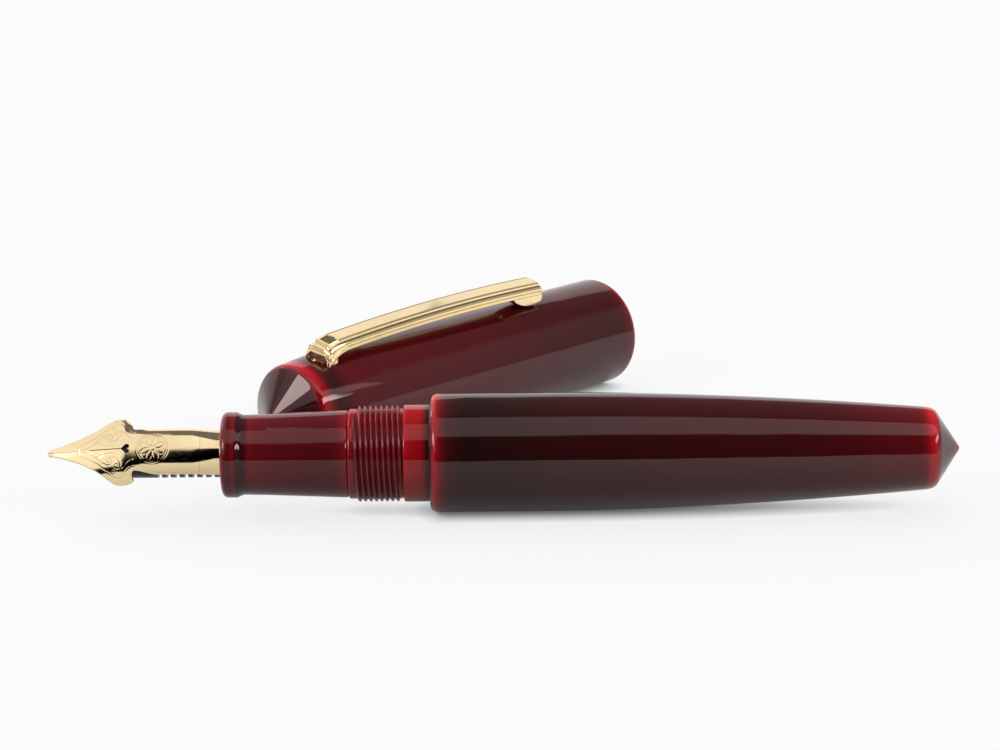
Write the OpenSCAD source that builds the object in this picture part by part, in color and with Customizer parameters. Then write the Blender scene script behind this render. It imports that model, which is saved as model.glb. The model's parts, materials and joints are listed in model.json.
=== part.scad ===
// Lacquered fountain pen with its cap taken off and lying beside it.
// Millimetres, +Z up. The pen lies along X with its nib at -X. The origin is on the
// surface it lies on, under the middle of the box around pen and cap.

/* [Pen body] */
// Radius of the barrel where it is thickest
barrel_r = 7.75; // [7.4:0.05:8.2]
// Barrel, from the step behind the collar to the edge of the tail cone
barrel_len = 66.3; // [64:0.1:72]
// Length of the barrel's straight stretch
barrel_straight = 16.2; // [10:0.2:24]
// Radius of the edge where the tail cone starts
tail_edge_r = 5.24; // [4.8:0.02:5.8]
// Height of the tail cone, to its point before that is rounded
tail_cone_h = 3; // [2:0.1:4]
// Rounding of the barrel's front step
step_round = 1; // [0.5:0.1:1.2]
// Radius of the worn point of both end cones
point_round = 0.7; // [0.4:0.1:0.9]

/* [Neck and cap thread] */
// Neck, from the section to the barrel's step
neck_len = 10.6; // [10.4:0.1:12]
// Radius of the smooth collar that the cap's mouth closes on
collar_r = 6.35; // [6.25:0.05:6.5]
// Length of the smooth collar
collar_len = 3.3; // [2.6:0.1:3.5]
// Outside radius of the cap thread
cap_thread_r = 6.3; // [6.1:0.05:6.3]
// Depth of the cap thread
cap_thread_depth = 0.4; // [0.25:0.05:0.45]
// Distance from one thread ridge to the next
cap_thread_pitch = 0.71; // [0.6:0.01:0.8]
// Number of thread ridges
cap_thread_ridges = 8; // [6:1:8]

/* [Section] */
// Length of the grip section
section_len = 16.5; // [15:0.5:19]
// Radius of the rounded lip at the section's front
lip_r = 5.6; // [5.5:0.05:5.8]
// Rounding of that lip
lip_round = 0.7; // [0.5:0.05:0.8]
// Smallest radius, in the hollow behind the lip
waist_r = 5.24; // [5.1:0.02:5.4]
// Distance from the section's front to the waist
waist_at = 3.7; // [3.2:0.1:4.5]
// Radius at the section's rear edge
section_rear_r = 5.77; // [5.7:0.01:5.85]

/* [Nib and feed] */
// Nib showing in front of the section
nib_out = 22.7; // [20:0.1:24]
// Part of the nib held inside the section
nib_in = 10; // [8:0.5:10.5]
// Thickness of the nib's gold sheet
nib_sheet = 0.3; // [0.25:0.05:0.4]
// Outside radius of the nib's shank
nib_shank_r = 3.26; // [3.2:0.02:3.3]
// Height of the nib's tip above the pen's axis
nib_tip_h = 1.35; // [1:0.05:1.8]
// Turn of the nib's face from straight up towards the front
nib_roll = 57; // [0:1:90]
// Radius of the hard writing pellet
pellet_r = 0.34; // [0.25:0.01:0.4]
// Radius of the feed's finned part
feed_r = 2.92; // [2.7:0.01:2.92]
// Number of gaps between the feed's fins
fin_gaps = 8; // [4:1:8]
// Distance from one fin to the next
fin_pitch = 1.145; // [1:0.005:1.2]
// Width of a gap between fins
fin_gap = 0.49; // [0.3:0.01:0.7]

/* [Inside the section] */
// Outside radius of the feed housing
housing_r = 3.8; // [3.75:0.01:3.85]
// Radius of the nipple that pierces or carries the ink supply
nipple_r = 1.5; // [1.2:0.05:1.8]
// Length of that nipple
nipple_len = 4.5; // [4:0.1:4.5]
// Radius of the joint sleeve inside the section
sleeve_seat_r = 4.4; // [4.3:0.05:4.5]
// Outside radius of the joint sleeve's thread
sleeve_thread_r = 4.75; // [4.6:0.05:4.8]
// Bore radius of the joint sleeve
sleeve_bore_r = 3.92; // [3.9:0.01:3.95]
// Part of the joint sleeve inside the section
sleeve_seat_len = 6; // [5:0.5:7]
// Part of the joint sleeve that screws into the barrel
sleeve_thread_len = 7; // [5:0.5:7.5]

/* [Converter] */
// Outside radius of the converter's clear tube
tube_r = 3.5; // [3.4:0.02:3.52]
// Wall of the clear tube
tube_wall = 0.6; // [0.5:0.05:0.7]
// Length of the clear tube
tube_len = 36; // [34:0.5:38]
// Length of the metal band over the tube's rear
band_len = 10; // [6:0.5:12]
// Thickness of the metal band
band_wall = 0.2; // [0.15:0.05:0.25]
// Length of the turning knob
knob_len = 19.5; // [19:0.1:20]
// Radius of the turning knob
knob_r = 3.45; // [3.2:0.05:3.6]
// Radius of the piston's screw rod
rod_r = 1.15; // [1:0.05:1.2]
// Length of the piston's screw rod
rod_len = 32; // [31:0.5:33]
// Travel of the piston
piston_travel = 15; // [10:1:15]

/* [Cap] */
// Outside radius of the cap
cap_r = 7.88; // [7.7:0.02:8.2]
// Cap, from its mouth to the edge of its end cone
cap_len = 63.5; // [61:0.5:68]
// Radius of that edge
cap_edge_r = 6.95; // [6.7:0.01:7.2]
// Height of the cap's end cone, to its point before that is rounded
cap_cone_h = 4.3; // [3:0.1:4.6]
// Length over which the cap narrows to that edge
cap_shoulder_len = 11.5; // [9:0.5:13]
// Rounding of the cap's mouth
mouth_round = 1; // [0.6:0.1:1.1]
// Radius of the mouth bore, which takes the barrel's collar and thread
mouth_bore_r = 6.45; // [6.4:0.01:6.6]
// Depth of the mouth bore
mouth_bore_len = 10.5; // [9.5:0.1:10.6]
// Radius of the bore behind it, around the section
cap_bore_r = 6.1; // [6:0.02:6.2]
// Outside radius of the inner cap
inner_cap_r = 5.9; // [5.85:0.01:5.95]
// Bore radius of the inner cap, around the nib
inner_cap_bore_r = 4.9; // [4.85:0.01:5]
// Turn of the lying cap away from the pen's length
cap_yaw = 46.5; // [35:0.5:60]
// Cap mouth's centre, measured along the pen from the pen's middle
mouth_x = 14.6; // [5:0.1:25]
// Cap mouth's centre, measured across from the pen's axis
mouth_y = 64.5; // [60:0.5:75]

/* [Clip] */
// Turn of the clip round the cap, from straight up towards the front
clip_roll = 11; // [-20:1:30]
// Width of the clip
clip_w = 4.2; // [3.6:0.1:4.6]
// Width of the raised rib along the clip
rib_w = 2.1; // [1.4:0.1:2.4]
// Height of the raised rib
rib_h = 0.7; // [0.5:0.05:1.1]
// Height of the clip's flanges under the rib
flange_h = 0.8; // [0.6:0.05:1.1]
// Clip, from its foot to its free end
clip_len = 43.5; // [36:0.5:46]
// Top of the clip above the cap at its foot
clip_foot_h = 2.2; // [2.2:0.05:2.8]
// Top of the clip above the cap at its free end
clip_end_h = 3.4; // [2.8:0.05:3.6]
// How far the clip's middle arches above a straight line
clip_arch = 0.75; // [0.4:0.05:1.2]
// Distance from the clip's tang to the edge of the cap's end cone
tang_back = 5.5; // [5.3:0.1:6.5]
// Thickness of the clip's tang
tang_t = 0.8; // [0.6:0.05:1]
// Radius of the clip screw's shank
screw_r = 1.15; // [0.9:0.05:1.3]
// Radius of the clip screw's head
screw_head_r = 2.7; // [2.2:0.05:2.9]
// Height of the clip screw's head
screw_head_h = 1.9; // [1.5:0.1:2.2]
// Width of the clip screw's driver slot
screw_slot_w = 0.7; // [0.5:0.05:0.9]

/* [Fits] */
// Radial clearance of pieces that are pushed or screwed together
fit = 0.03; // [0.02:0.005:0.05]
// Radial clearance of pieces that turn or slide
run = 0.05; // [0.03:0.005:0.06]
// Gap between faces that meet
face_gap = 0.03; // [0.02:0.005:0.05]

/* [Hidden] */
$fn = 64;
eps = 0.01;

// Colours of the finishes
lacquer = "#4a0f12";
gold = "#d9b45a";
ebonite = "#17151a";
brass = "#b58e45";
clear_plastic = "#dfe6ea";
steel = "#b9bcc0";

// Stations along the pen, measured from the nib's tip
section_u = nib_out;
neck_u = section_u + section_len;
step_u = neck_u + neck_len;
tail_u = step_u + barrel_len;
pen_len = tail_u + tail_cone_h - point_loss(tail_edge_r, tail_cone_h);

// Where the two halves lie
cap_far = mouth_y - mouth_round * sin(cap_yaw) + (cap_r - mouth_round) * cos(cap_yaw) + mouth_round;
pen_y = -(cap_far - barrel_r) / 2;

// Puts the pen's own frame, +X from the nib's tip to the tail, in the row frame
module on_pen() {
    translate([-pen_len / 2, pen_y, barrel_r])
        children();
}

// The same frame, rolled so that +Z leaves the nib's face
module on_nib() {
    on_pen()
        rotate([nib_roll, 0, 0])
            children();
}

// Puts the cap's own frame, +X from its mouth to its closed end, in the row frame
module on_cap() {
    translate([mouth_x, pen_y + mouth_y, cap_r])
        rotate([0, 0, cap_yaw + 180])
            rotate([-clip_roll, 0, 0])
                children();
}

// A piece turned round its own +X, from [radius, distance] points
module turned(points) {
    rotate([0, 90, 0])
        rotate_extrude()
            polygon(points);
}

// A rod or a hole along +X
module rod(r, from, to) {
    translate([from, 0, 0])
        rotate([0, 90, 0])
            cylinder(r = r, h = to - from);
}

// Points of an arc round [x, y], from angle a to angle b
function arc(x, y, r, a, b, steps = 6) =
    [for (i = [0 : steps]) let (t = a + (b - a) * i / steps) [x + r * cos(t), y + r * sin(t)]];

// What rounding takes off the point of a cone of base radius edge_r and height h
function point_loss(edge_r, h) = point_round / cos(atan2(h, edge_r)) - point_round;

// Profile of an end cone with a rounded point, from its edge to the axis.
// The cone's edge is at radius edge_r and distance at, and its sharp point is h further on.
function end_cone(edge_r, at, h) =
    let (point_centre = at + h - point_loss(edge_r, h) - point_round)
    concat([[edge_r, at]],
           arc(0, point_centre, point_round, 90 - atan2(h, edge_r), 90, 4));

// ---------------------------------------------------------------- barrel

bore_r = 4.2;
knob_room = 6.5;
thread_u = neck_u + 0.9;
thread_end_u = step_u - collar_len;
thread_root_r = cap_thread_r - cap_thread_depth;
neck_bore_r = sleeve_thread_r + run;
taper_u = step_u + barrel_straight;
edge_round = 1;
taper_steps = 14;

// Radius of the barrel at a distance from its straight stretch, 0 to 1
function taper_r(t) = barrel_r - (barrel_r - tail_edge_r - 0.16) * pow(t, 1.75);

function thread_ridges(u0, pitch, count, root, crest) =
    [for (i = [0 : count - 1]) for (p = [[root, 0.1], [crest, 0.42], [crest, 0.58], [root, 0.9]])
        [p[0], u0 + (i + p[1]) * pitch]];

module barrel() {
    color(lacquer)
    on_pen()
        turned(concat(
            [[neck_bore_r, neck_u + face_gap],
             [thread_root_r - 0.2, neck_u + face_gap],
             [thread_root_r, neck_u + face_gap + 0.2]],
            thread_ridges(thread_u, cap_thread_pitch, cap_thread_ridges, thread_root_r, cap_thread_r),
            [[thread_root_r, thread_end_u - 0.15],
             [collar_r, thread_end_u],
             [collar_r, step_u]],
            arc(barrel_r - step_round, step_u + step_round, step_round, -90, 0),
            [for (i = [0 : taper_steps])
                [taper_r(i / taper_steps), taper_u + (tail_u - edge_round - taper_u) * i / taper_steps]],
            end_cone(tail_edge_r, tail_u, tail_cone_h),
            [[0, knob_end_u + knob_room],
             [bore_r, knob_end_u + knob_room],
             [bore_r, neck_u + sleeve_thread_len + 0.8],
             [neck_bore_r, neck_u + sleeve_thread_len + 0.3]]));
}

// ---------------------------------------------------------------- section

section_mouth_r = 3.4;
section_mouth_len = 1.5;
housing_seat_r = housing_r + fit;
sleeve_u = neck_u - sleeve_seat_len;

module section() {
    color(lacquer)
    on_pen()
        turned(concat(
            [[section_mouth_r, section_u]],
            arc(lip_r - lip_round, section_u + lip_round, lip_round, -90, 0),
            [for (i = [1 : 6]) let (t = i / 6)
                [waist_r + (lip_r - waist_r) * (1 + cos(180 * t)) / 2,
                 section_u + lip_round + (waist_at - lip_round) * t]],
            [[section_rear_r - 0.03, neck_u - 0.25],
             [section_rear_r - 0.2, neck_u],
             [sleeve_seat_r + fit, neck_u],
             [sleeve_seat_r + fit, sleeve_u - face_gap],
             [housing_seat_r, sleeve_u - face_gap],
             [housing_seat_r, section_u + section_mouth_len],
             [section_mouth_r, section_u + section_mouth_len]]));
}

sleeve_pitch = 0.75;
sleeve_ridges = floor((sleeve_thread_len - 0.9) / sleeve_pitch);

module joint_sleeve() {
    color(brass)
    on_pen()
        turned(concat(
            [[sleeve_bore_r, sleeve_u],
             [sleeve_seat_r, sleeve_u],
             [sleeve_seat_r, neck_u + 0.5]],
            thread_ridges(neck_u + 0.5, sleeve_pitch, sleeve_ridges, sleeve_seat_r, sleeve_thread_r),
            [[sleeve_seat_r, neck_u + sleeve_thread_len],
             [sleeve_bore_r, neck_u + sleeve_thread_len]]));
}

// ---------------------------------------------------------------- nib and feed

housing_u = section_u + section_mouth_len + face_gap;
nib_end_u = nib_out + nib_in;
feed_end_u = nib_end_u + 1.5;
housing_wall_u = feed_end_u + 0.2;
nipple_u = housing_wall_u + 1.8;
nipple_end_u = nipple_u + nipple_len;
nib_nest_r = nib_shank_r + run;
ink_hole_r = 0.7;

module feed_housing() {
    color(ebonite)
    on_pen()
        turned([[nib_nest_r, housing_u],
                [housing_r, housing_u],
                [housing_r, nipple_u],
                [nipple_r, nipple_u],
                [nipple_r, nipple_end_u - 0.4],
                [nipple_r - 0.3, nipple_end_u],
                [ink_hole_r, nipple_end_u],
                [ink_hole_r, housing_wall_u],
                [nib_nest_r, housing_wall_u]]);
}

// Half width of the nib's flat blank at a distance from its tip: point, shoulders, waist, shank
shank_w = 4;
blank = [[0, 0.3], [2, 0.85], [4.5, 1.8], [6.6, 2.9], [7.9, 4], [8.7, 4.75], [9.4, 5.05], [10, 4.85],
         [10.5, 4.2], [10.9, 3.3], [11.4, 2.95], [12.4, 3.15], [13.6, 3.9], [14.6, 4.25],
         [nib_out, shank_w], [nib_end_u, shank_w]];
// Outside radius of the nib's curve, flat at the point and tight round the feed
curve = [[0, 12], [9, 6.5], [13.4, 3.74], [nib_out, nib_shank_r], [nib_end_u, nib_shank_r]];
// Height of the nib's ridge line above the pen's axis
ridge = [[0, nib_tip_h], [9.5, 3.5], [13.4, 3.74], [nib_out, nib_shank_r], [nib_end_u, nib_shank_r]];
nib_stations = [for (i = [0 : 30]) i * 0.5, for (i = [1 : 6]) 15 + (nib_end_u - 15) * i / 6];
nib_cols = 12;

// A point of the nib: station u, column from -1 to 1, depth below the outer face
function nib_point(u, col, depth) =
    let (r = lookup(u, curve),
         angle = lookup(u, blank) / r * 180 / PI * col,
         centre = lookup(u, ridge) - r)
    [u, (r - depth) * sin(angle), centre + (r - depth) * cos(angle)];

// A closed sheet over a grid of stations and columns
module nib_sheet_solid() {
    rows = len(nib_stations);
    cols = nib_cols + 1;
    face = rows * cols;
    function at(i, j, side) = side * face + i * cols + j;
    points = [for (side = [0, 1]) for (u = nib_stations) for (j = [0 : nib_cols])
        nib_point(u, 2 * j / nib_cols - 1, side * nib_sheet)];
    quads = concat(
        [for (i = [0 : rows - 2]) for (j = [0 : cols - 2])
            [at(i, j, 0), at(i + 1, j, 0), at(i + 1, j + 1, 0), at(i, j + 1, 0)]],
        [for (i = [0 : rows - 2]) for (j = [0 : cols - 2])
            [at(i, j, 1), at(i, j + 1, 1), at(i + 1, j + 1, 1), at(i + 1, j, 1)]],
        [for (i = [0 : rows - 2]) for (j = [0, cols - 1]) j == 0
            ? [at(i, 0, 0), at(i, 0, 1), at(i + 1, 0, 1), at(i + 1, 0, 0)]
            : [at(i, j, 0), at(i + 1, j, 0), at(i + 1, j, 1), at(i, j, 1)]],
        [for (j = [0 : cols - 2]) for (i = [0, rows - 1]) i == 0
            ? [at(0, j, 0), at(0, j + 1, 0), at(0, j + 1, 1), at(0, j, 1)]
            : [at(i, j, 0), at(i, j, 1), at(i, j + 1, 1), at(i, j + 1, 0)]]);
    triangles = [for (q = quads) for (t = [[q[0], q[2], q[1]], [q[0], q[3], q[2]]]) t];
    polyhedron(points, triangles);
}

heart_u = 10.2;
heart_r = 0.33;
slit_w = 0.08;

// Breather hole in the shape of a heart, its point towards the tip
module heart() {
    for (side = [-1, 1])
        hull() {
            translate([heart_u + 0.3, side * heart_r * 0.8])
                circle(heart_r, $fn = 16);
            translate([heart_u - 0.55, 0])
                circle(0.06, $fn = 8);
        }
}

module nib() {
    color(gold)
    on_nib()
        difference() {
            nib_sheet_solid();
            linear_extrude(height = 6)
                heart();
            translate([-1, -slit_w / 2, 0])
                cube([heart_u + 0.5, slit_w, 6]);
        }
}

module nib_pellet() {
    color(steel)
    on_nib()
        translate([pellet_r, 0, nib_tip_h - nib_sheet - pellet_r - face_gap])
            sphere(pellet_r, $fn = 24);
}

feed_tip_u = 5.6;
feed_tip_h = 1.7;
feed_tip_r = 0.45;
feed_front_u = 10.8;
feed_plate_t = 0.1;
fin_end_u = section_u + 0.15;
fin_u = fin_end_u - fin_gap - (fin_gaps - 1) * fin_pitch;
fin_core_r = 1.9;
fin_top = 1;
feed_seat_r = nib_shank_r - nib_sheet - face_gap;

module feed() {
    color(ebonite)
    on_nib() {
        // Nose that tapers up to the nib's underside
        hull() {
            translate([feed_tip_u, 0, feed_tip_h])
                rotate([0, 90, 0])
                    cylinder(r = feed_tip_r, h = feed_plate_t, $fn = 32);
            translate([feed_front_u, 0, 0])
                rotate([0, 90, 0])
                    cylinder(r = feed_r, h = feed_plate_t, $fn = 32);
        }
        difference() {
            rod(feed_r, feed_front_u, fin_end_u + eps);
            for (i = [0 : fin_gaps - 1])
                translate([fin_u + i * fin_pitch, 0, 0])
                    difference() {
                        translate([0, -2 * feed_r, -2 * feed_r])
                            cube([fin_gap, 4 * feed_r, 2 * feed_r + fin_top]);
                        rod(fin_core_r, -fin_gap, 2 * fin_gap);
                    }
        }
        // Tail inside the housing: round under the nib, full width below it
        rod(feed_seat_r, fin_end_u, feed_end_u);
        intersection() {
            rod(nib_nest_r - fit, section_u + section_mouth_len, feed_end_u);
            translate([0, -2 * feed_r, -2 * feed_r])
                cube([feed_end_u, 4 * feed_r, 2 * feed_r + nib_shank_r * cos(shank_w / nib_shank_r * 180 / PI)
                    - nib_sheet]);
        }
    }
}

// ---------------------------------------------------------------- converter

socket_u = nipple_u + face_gap * 10;
tube_u = nipple_end_u + 0.5;
tube_bore_r = tube_r - tube_wall;
spigot_len = 3;
tube_end_u = tube_u + tube_len;
bush_len = 7;
flange_len = 1.2;
boss_r = 2.2;
boss_len = 1.6;
knob_u = tube_end_u + flange_len + 0.15;
knob_end_u = knob_u + knob_len;
head_u = tube_u + spigot_len + 0.5;
head_len = 4;
rod_bore_r = rod_r + run;
rod_flat = 0.85 * rod_r;
knob_wall = 1.5;

module converter_socket() {
    color(ebonite)
    on_pen()
        turned([[nipple_r + fit, socket_u],
                [tube_r - 0.3, socket_u],
                [tube_r, socket_u + 0.3],
                [tube_r, tube_u],
                [tube_bore_r - fit, tube_u],
                [tube_bore_r - fit, tube_u + spigot_len],
                [ink_hole_r, tube_u + spigot_len],
                [ink_hole_r, nipple_end_u + 0.2],
                [nipple_r + fit, nipple_end_u + 0.2]]);
}

module converter_tube() {
    color(clear_plastic, 0.4)
    on_pen()
        difference() {
            rod(tube_r, tube_u + face_gap, tube_end_u);
            rod(tube_bore_r, tube_u - 1, tube_end_u + 1);
        }
}

module converter_band() {
    color(gold)
    on_pen()
        difference() {
            rod(tube_r + fit + band_wall, tube_end_u + flange_len - band_len, tube_end_u + flange_len);
            rod(tube_r + fit, tube_u, knob_end_u);
        }
}

// A rod with two flats, which slides through the bush but can't turn in it
module keyed_rod(r, flat, from, to) {
    intersection() {
        rod(r, from, to);
        translate([from - 1, -r - 1, -flat])
            cube([to - from + 2, 2 * r + 2, 2 * flat]);
    }
}

module converter_bush() {
    color(ebonite)
    on_pen()
        difference() {
            union() {
                rod(tube_bore_r - fit, tube_end_u + flange_len - boss_len - bush_len, tube_end_u + face_gap + eps);
                rod(tube_r, tube_end_u + face_gap, tube_end_u + flange_len);
            }
            keyed_rod(rod_bore_r, rod_flat + run, tube_u, knob_end_u);
            rod(boss_r + run, tube_end_u + flange_len - boss_len, knob_end_u);
        }
}

knob_flutes = 18;

module converter_knob() {
    color(ebonite)
    on_pen()
        difference() {
            union() {
                rod(boss_r, knob_u - boss_len, knob_u + eps);
                turned([[0, knob_u],
                        [knob_r, knob_u],
                        [knob_r, knob_end_u - 0.8],
                        [knob_r - 0.8, knob_end_u],
                        [0, knob_end_u]]);
            }
            rod(rod_bore_r + run, knob_u - boss_len - 1, knob_end_u - knob_wall);
            for (i = [0 : knob_flutes - 1])
                rotate([i * 360 / knob_flutes, 0, 0])
                    translate([knob_u + 3, 0, knob_r + 0.15])
                        rotate([0, 90, 0])
                            cylinder(r = 0.35, h = knob_len, $fn = 12);
        }
}

module piston_rod() {
    color(steel)
    on_pen()
        keyed_rod(rod_r, rod_flat, head_u + head_len - 1.5, head_u + head_len - 1.5 + rod_len);
}

module piston_head() {
    color(ebonite)
    on_pen()
        turned([[0, head_u],
                [1.6, head_u],
                [tube_bore_r - fit, head_u + 0.3],
                [tube_bore_r - fit, head_u + 0.9],
                [tube_bore_r - 0.4, head_u + 1.1],
                [tube_bore_r - 0.4, head_u + head_len - 1.1],
                [tube_bore_r - fit, head_u + head_len - 0.9],
                [tube_bore_r - fit, head_u + head_len - 0.3],
                [2, head_u + head_len],
                [rod_bore_r, head_u + head_len],
                [rod_bore_r, head_u + head_len - 1.5 - face_gap],
                [0, head_u + head_len - 1.5 - face_gap]]);
}

// ---------------------------------------------------------------- cap

// Distances below are measured from the cap's mouth
lip_stop = 0.1;
washer_t = 0.5;
screw_room = 1.05;
screw_grip = 4.5;
tang_at = cap_len - tang_back;
pocket_end = tang_at - tang_t / 2 - run;
pocket_r = screw_head_r + 0.5;
screw_head_at = pocket_end - washer_t - screw_head_h;
screw_end = tang_at + screw_grip;
inner_cap_at = section_len + neck_len + lip_stop;
inner_cap_end = screw_head_at - screw_room;
inner_cap_seat_r = inner_cap_r + fit;
inner_cap_floor = 1.5;
shoulder_steps = 10;

// Outline of the cap from the start of its shoulder to its end cone, grown outwards by a gap
function cap_shoulder(gap = 0) =
    [for (i = [0 : shoulder_steps]) let (t = i / shoulder_steps)
        [cap_r - (cap_r - cap_edge_r) * pow(t, 1.3) + gap, cap_len - cap_shoulder_len * (1 - t)]];

// A solid just larger than the cap's outside, which cuts a seat into what lies on it
module around_cap(gap) {
    turned(concat(
        [[0, 0], [cap_r + gap, 0]],
        cap_shoulder(gap),
        [[cap_edge_r + gap, cap_len + cap_cone_h], [0, cap_len + cap_cone_h]]));
}

module cap_shell() {
    color(lacquer)
    on_cap()
        difference() {
            turned(concat(
                [[mouth_bore_r, 0.4],
                 [mouth_bore_r + 0.35, 0]],
                arc(cap_r - mouth_round, mouth_round, mouth_round, -90, 0),
                cap_shoulder(),
                end_cone(cap_edge_r, cap_len, cap_cone_h),
                [[0, screw_end + 0.8],
                 [screw_r + fit, screw_end + 0.8],
                 [screw_r + fit, pocket_end],
                 [pocket_r, pocket_end],
                 [pocket_r, inner_cap_end + face_gap],
                 [inner_cap_seat_r, inner_cap_end + face_gap],
                 [inner_cap_seat_r, inner_cap_at],
                 [cap_bore_r, inner_cap_at],
                 [cap_bore_r, mouth_bore_len],
                 [mouth_bore_r, mouth_bore_len]]));
            // Slot for the clip's tang
            translate([tang_at - tang_t / 2 - run, -clip_w / 2 - run, -clip_w / 2 - run])
                cube([tang_t + 2 * run, clip_w + 2 * run, cap_r + 5]);
        }
}

module inner_cap() {
    color(ebonite)
    on_cap()
        turned([[inner_cap_bore_r, inner_cap_at + face_gap],
                [inner_cap_r, inner_cap_at + face_gap],
                [inner_cap_r, inner_cap_end],
                [0, inner_cap_end],
                [0, inner_cap_end - inner_cap_floor],
                [inner_cap_bore_r, inner_cap_end - inner_cap_floor]]);
}

// ---------------------------------------------------------------- clip

foot_end = tang_at + 1.7;
arm_root = foot_end - 3;
arm_end = foot_end - clip_len;
pad_len = 6.2;
pad_w = 3.8;
pad_round = 2.4;
pad_arc = 62;
root_gap = 0.12;
seat_gap = 0.04;
foot_setback = 1.1;

// Height of the clip's top above the cap's axis, at a distance from the mouth
function clip_top(d) =
    let (t = (d - arm_end) / (foot_end - arm_end))
    cap_r + clip_end_h + (clip_foot_h - clip_end_h) * t + 4 * clip_arch * t * (1 - t);

// A strip that follows the clip's arch, w wide, from depth a to depth b below the top
module arched_strip(from, to, w, a, b, steps = 16) {
    rotate([90, 0, 0])
        linear_extrude(height = w, center = true)
            polygon(concat(
                [for (i = [0 : steps]) let (d = from + (to - from) * i / steps) [d, clip_top(d) - a]],
                [for (i = [steps : -1 : 0]) let (d = from + (to - from) * i / steps) [d, clip_top(d) - b]]));
}

// Pad under the clip's free end, rounded where a pocket's cloth slides in
module clip_pad() {
    pad_top = clip_top(arm_end) - rib_h - flange_h / 2;
    pad_flat = pad_len - pad_round * sin(pad_arc);
    rotate([90, 0, 0])
        linear_extrude(height = pad_w, center = true)
            polygon(concat(
                [[arm_end, pad_top], [arm_end, cap_r]],
                arc(arm_end + pad_flat, cap_r + pad_round, pad_round, -90, pad_arc - 90, 8),
                [[arm_end + pad_len, pad_top]]));
}

module clip_arm() {
    color(gold)
    on_cap()
        difference() {
            union() {
                arched_strip(arm_end, arm_root - root_gap, rib_w, 0, rib_h + eps);
                arched_strip(arm_end, arm_root - root_gap, clip_w, rib_h, rib_h + flange_h);
                clip_pad();
            }
            rod(cap_r + seat_gap, -1, cap_len);
        }
}

module clip_foot() {
    color(gold)
    on_cap() {
        difference() {
            union() {
                arched_strip(arm_root, foot_end - foot_setback, rib_w, 0, rib_h + eps);
                arched_strip(arm_root, foot_end, clip_w, rib_h, clip_foot_h + 1.6, 4);
            }
            around_cap(seat_gap);
        }
        // Tang through the cap's wall, with an eye for the screw
        difference() {
            translate([tang_at - tang_t / 2, 0, 0]) {
                translate([0, -clip_w / 2, 0])
                    cube([tang_t, clip_w, cap_r + 0.6]);
                rotate([0, 90, 0])
                    cylinder(r = clip_w / 2, h = tang_t);
            }
            rod(screw_r + run, 0, cap_len);
        }
    }
}

module clip_washer() {
    color(steel)
    on_cap()
        difference() {
            rod(screw_head_r, pocket_end - washer_t, pocket_end - face_gap);
            rod(screw_r + run, 0, cap_len);
        }
}

module clip_screw() {
    color(steel)
    on_cap()
        difference() {
            union() {
                rod(screw_head_r, screw_head_at, pocket_end - washer_t - face_gap);
                rod(screw_r, screw_head_at + screw_head_h / 2, screw_end);
            }
            // Driver slot
            translate([screw_head_at - 1, -screw_slot_w / 2, -2 * screw_head_r])
                cube([1 + screw_head_h / 2 - 0.15, screw_slot_w, 4 * screw_head_r]);
        }
}

barrel();
section();
joint_sleeve();
feed_housing();
feed();
nib();
nib_pellet();
converter_socket();
converter_tube();
converter_band();
converter_bush();
converter_knob();
piston_rod();
piston_head();
cap_shell();
inner_cap();
clip_arm();
clip_foot();
clip_washer();
clip_screw();
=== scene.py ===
# %% [markdown]
# # A lacquered fountain pen, dressed for its close-up
#
# The pen lies uncapped: a dark red lacquered barrel with a gold nib, and behind it the cap with its
# gold clip. A packed mechanical model gives every size and place. This lesson starts with a small
# white studio and the finishes. Then it builds the finished surfaces around the model: turned
# lacquer shells, real screw threads, an engraved gold nib, a finned feed and a moulded clip.
#
# Everything is drawn in millimetres, in a frame of its own, and then carried to its place in
# metres.

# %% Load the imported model
import json
import math

import bpy
import numpy as np
from mathutils import Matrix, Vector


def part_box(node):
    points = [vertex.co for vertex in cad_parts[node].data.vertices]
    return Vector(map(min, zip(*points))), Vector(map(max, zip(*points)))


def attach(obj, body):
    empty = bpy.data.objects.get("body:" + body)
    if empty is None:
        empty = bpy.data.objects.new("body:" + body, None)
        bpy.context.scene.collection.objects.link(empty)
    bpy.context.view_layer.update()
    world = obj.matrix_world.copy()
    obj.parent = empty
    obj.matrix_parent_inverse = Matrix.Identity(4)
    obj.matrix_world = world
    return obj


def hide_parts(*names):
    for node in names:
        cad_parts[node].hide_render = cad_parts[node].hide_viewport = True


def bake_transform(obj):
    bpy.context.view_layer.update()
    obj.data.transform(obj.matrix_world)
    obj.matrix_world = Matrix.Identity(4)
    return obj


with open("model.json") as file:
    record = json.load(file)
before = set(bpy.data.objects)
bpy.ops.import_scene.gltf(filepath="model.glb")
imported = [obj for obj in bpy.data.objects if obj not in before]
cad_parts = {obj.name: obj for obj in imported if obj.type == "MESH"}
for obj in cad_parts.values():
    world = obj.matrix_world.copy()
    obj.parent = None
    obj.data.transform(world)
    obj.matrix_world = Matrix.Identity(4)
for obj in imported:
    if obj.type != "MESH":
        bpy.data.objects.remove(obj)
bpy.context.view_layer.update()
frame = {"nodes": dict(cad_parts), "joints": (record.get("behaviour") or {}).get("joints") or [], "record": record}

# %% [markdown]
# ## Two frames to draw in
#
# A pen is easiest to draw lying along X, from the tip of its nib. So there are two frames: one for
# the pen, with X running from the nib's tip to the tail, and one for the cap, with X running from
# its mouth to its closed end and Z rising through the clip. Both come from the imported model: the
# pen's from the boxes of its barrel and nib, the cap's from its mouth's mount and its clip's hinge.

# %% The pen's frame and the cap's frame
MM = 0.001


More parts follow.
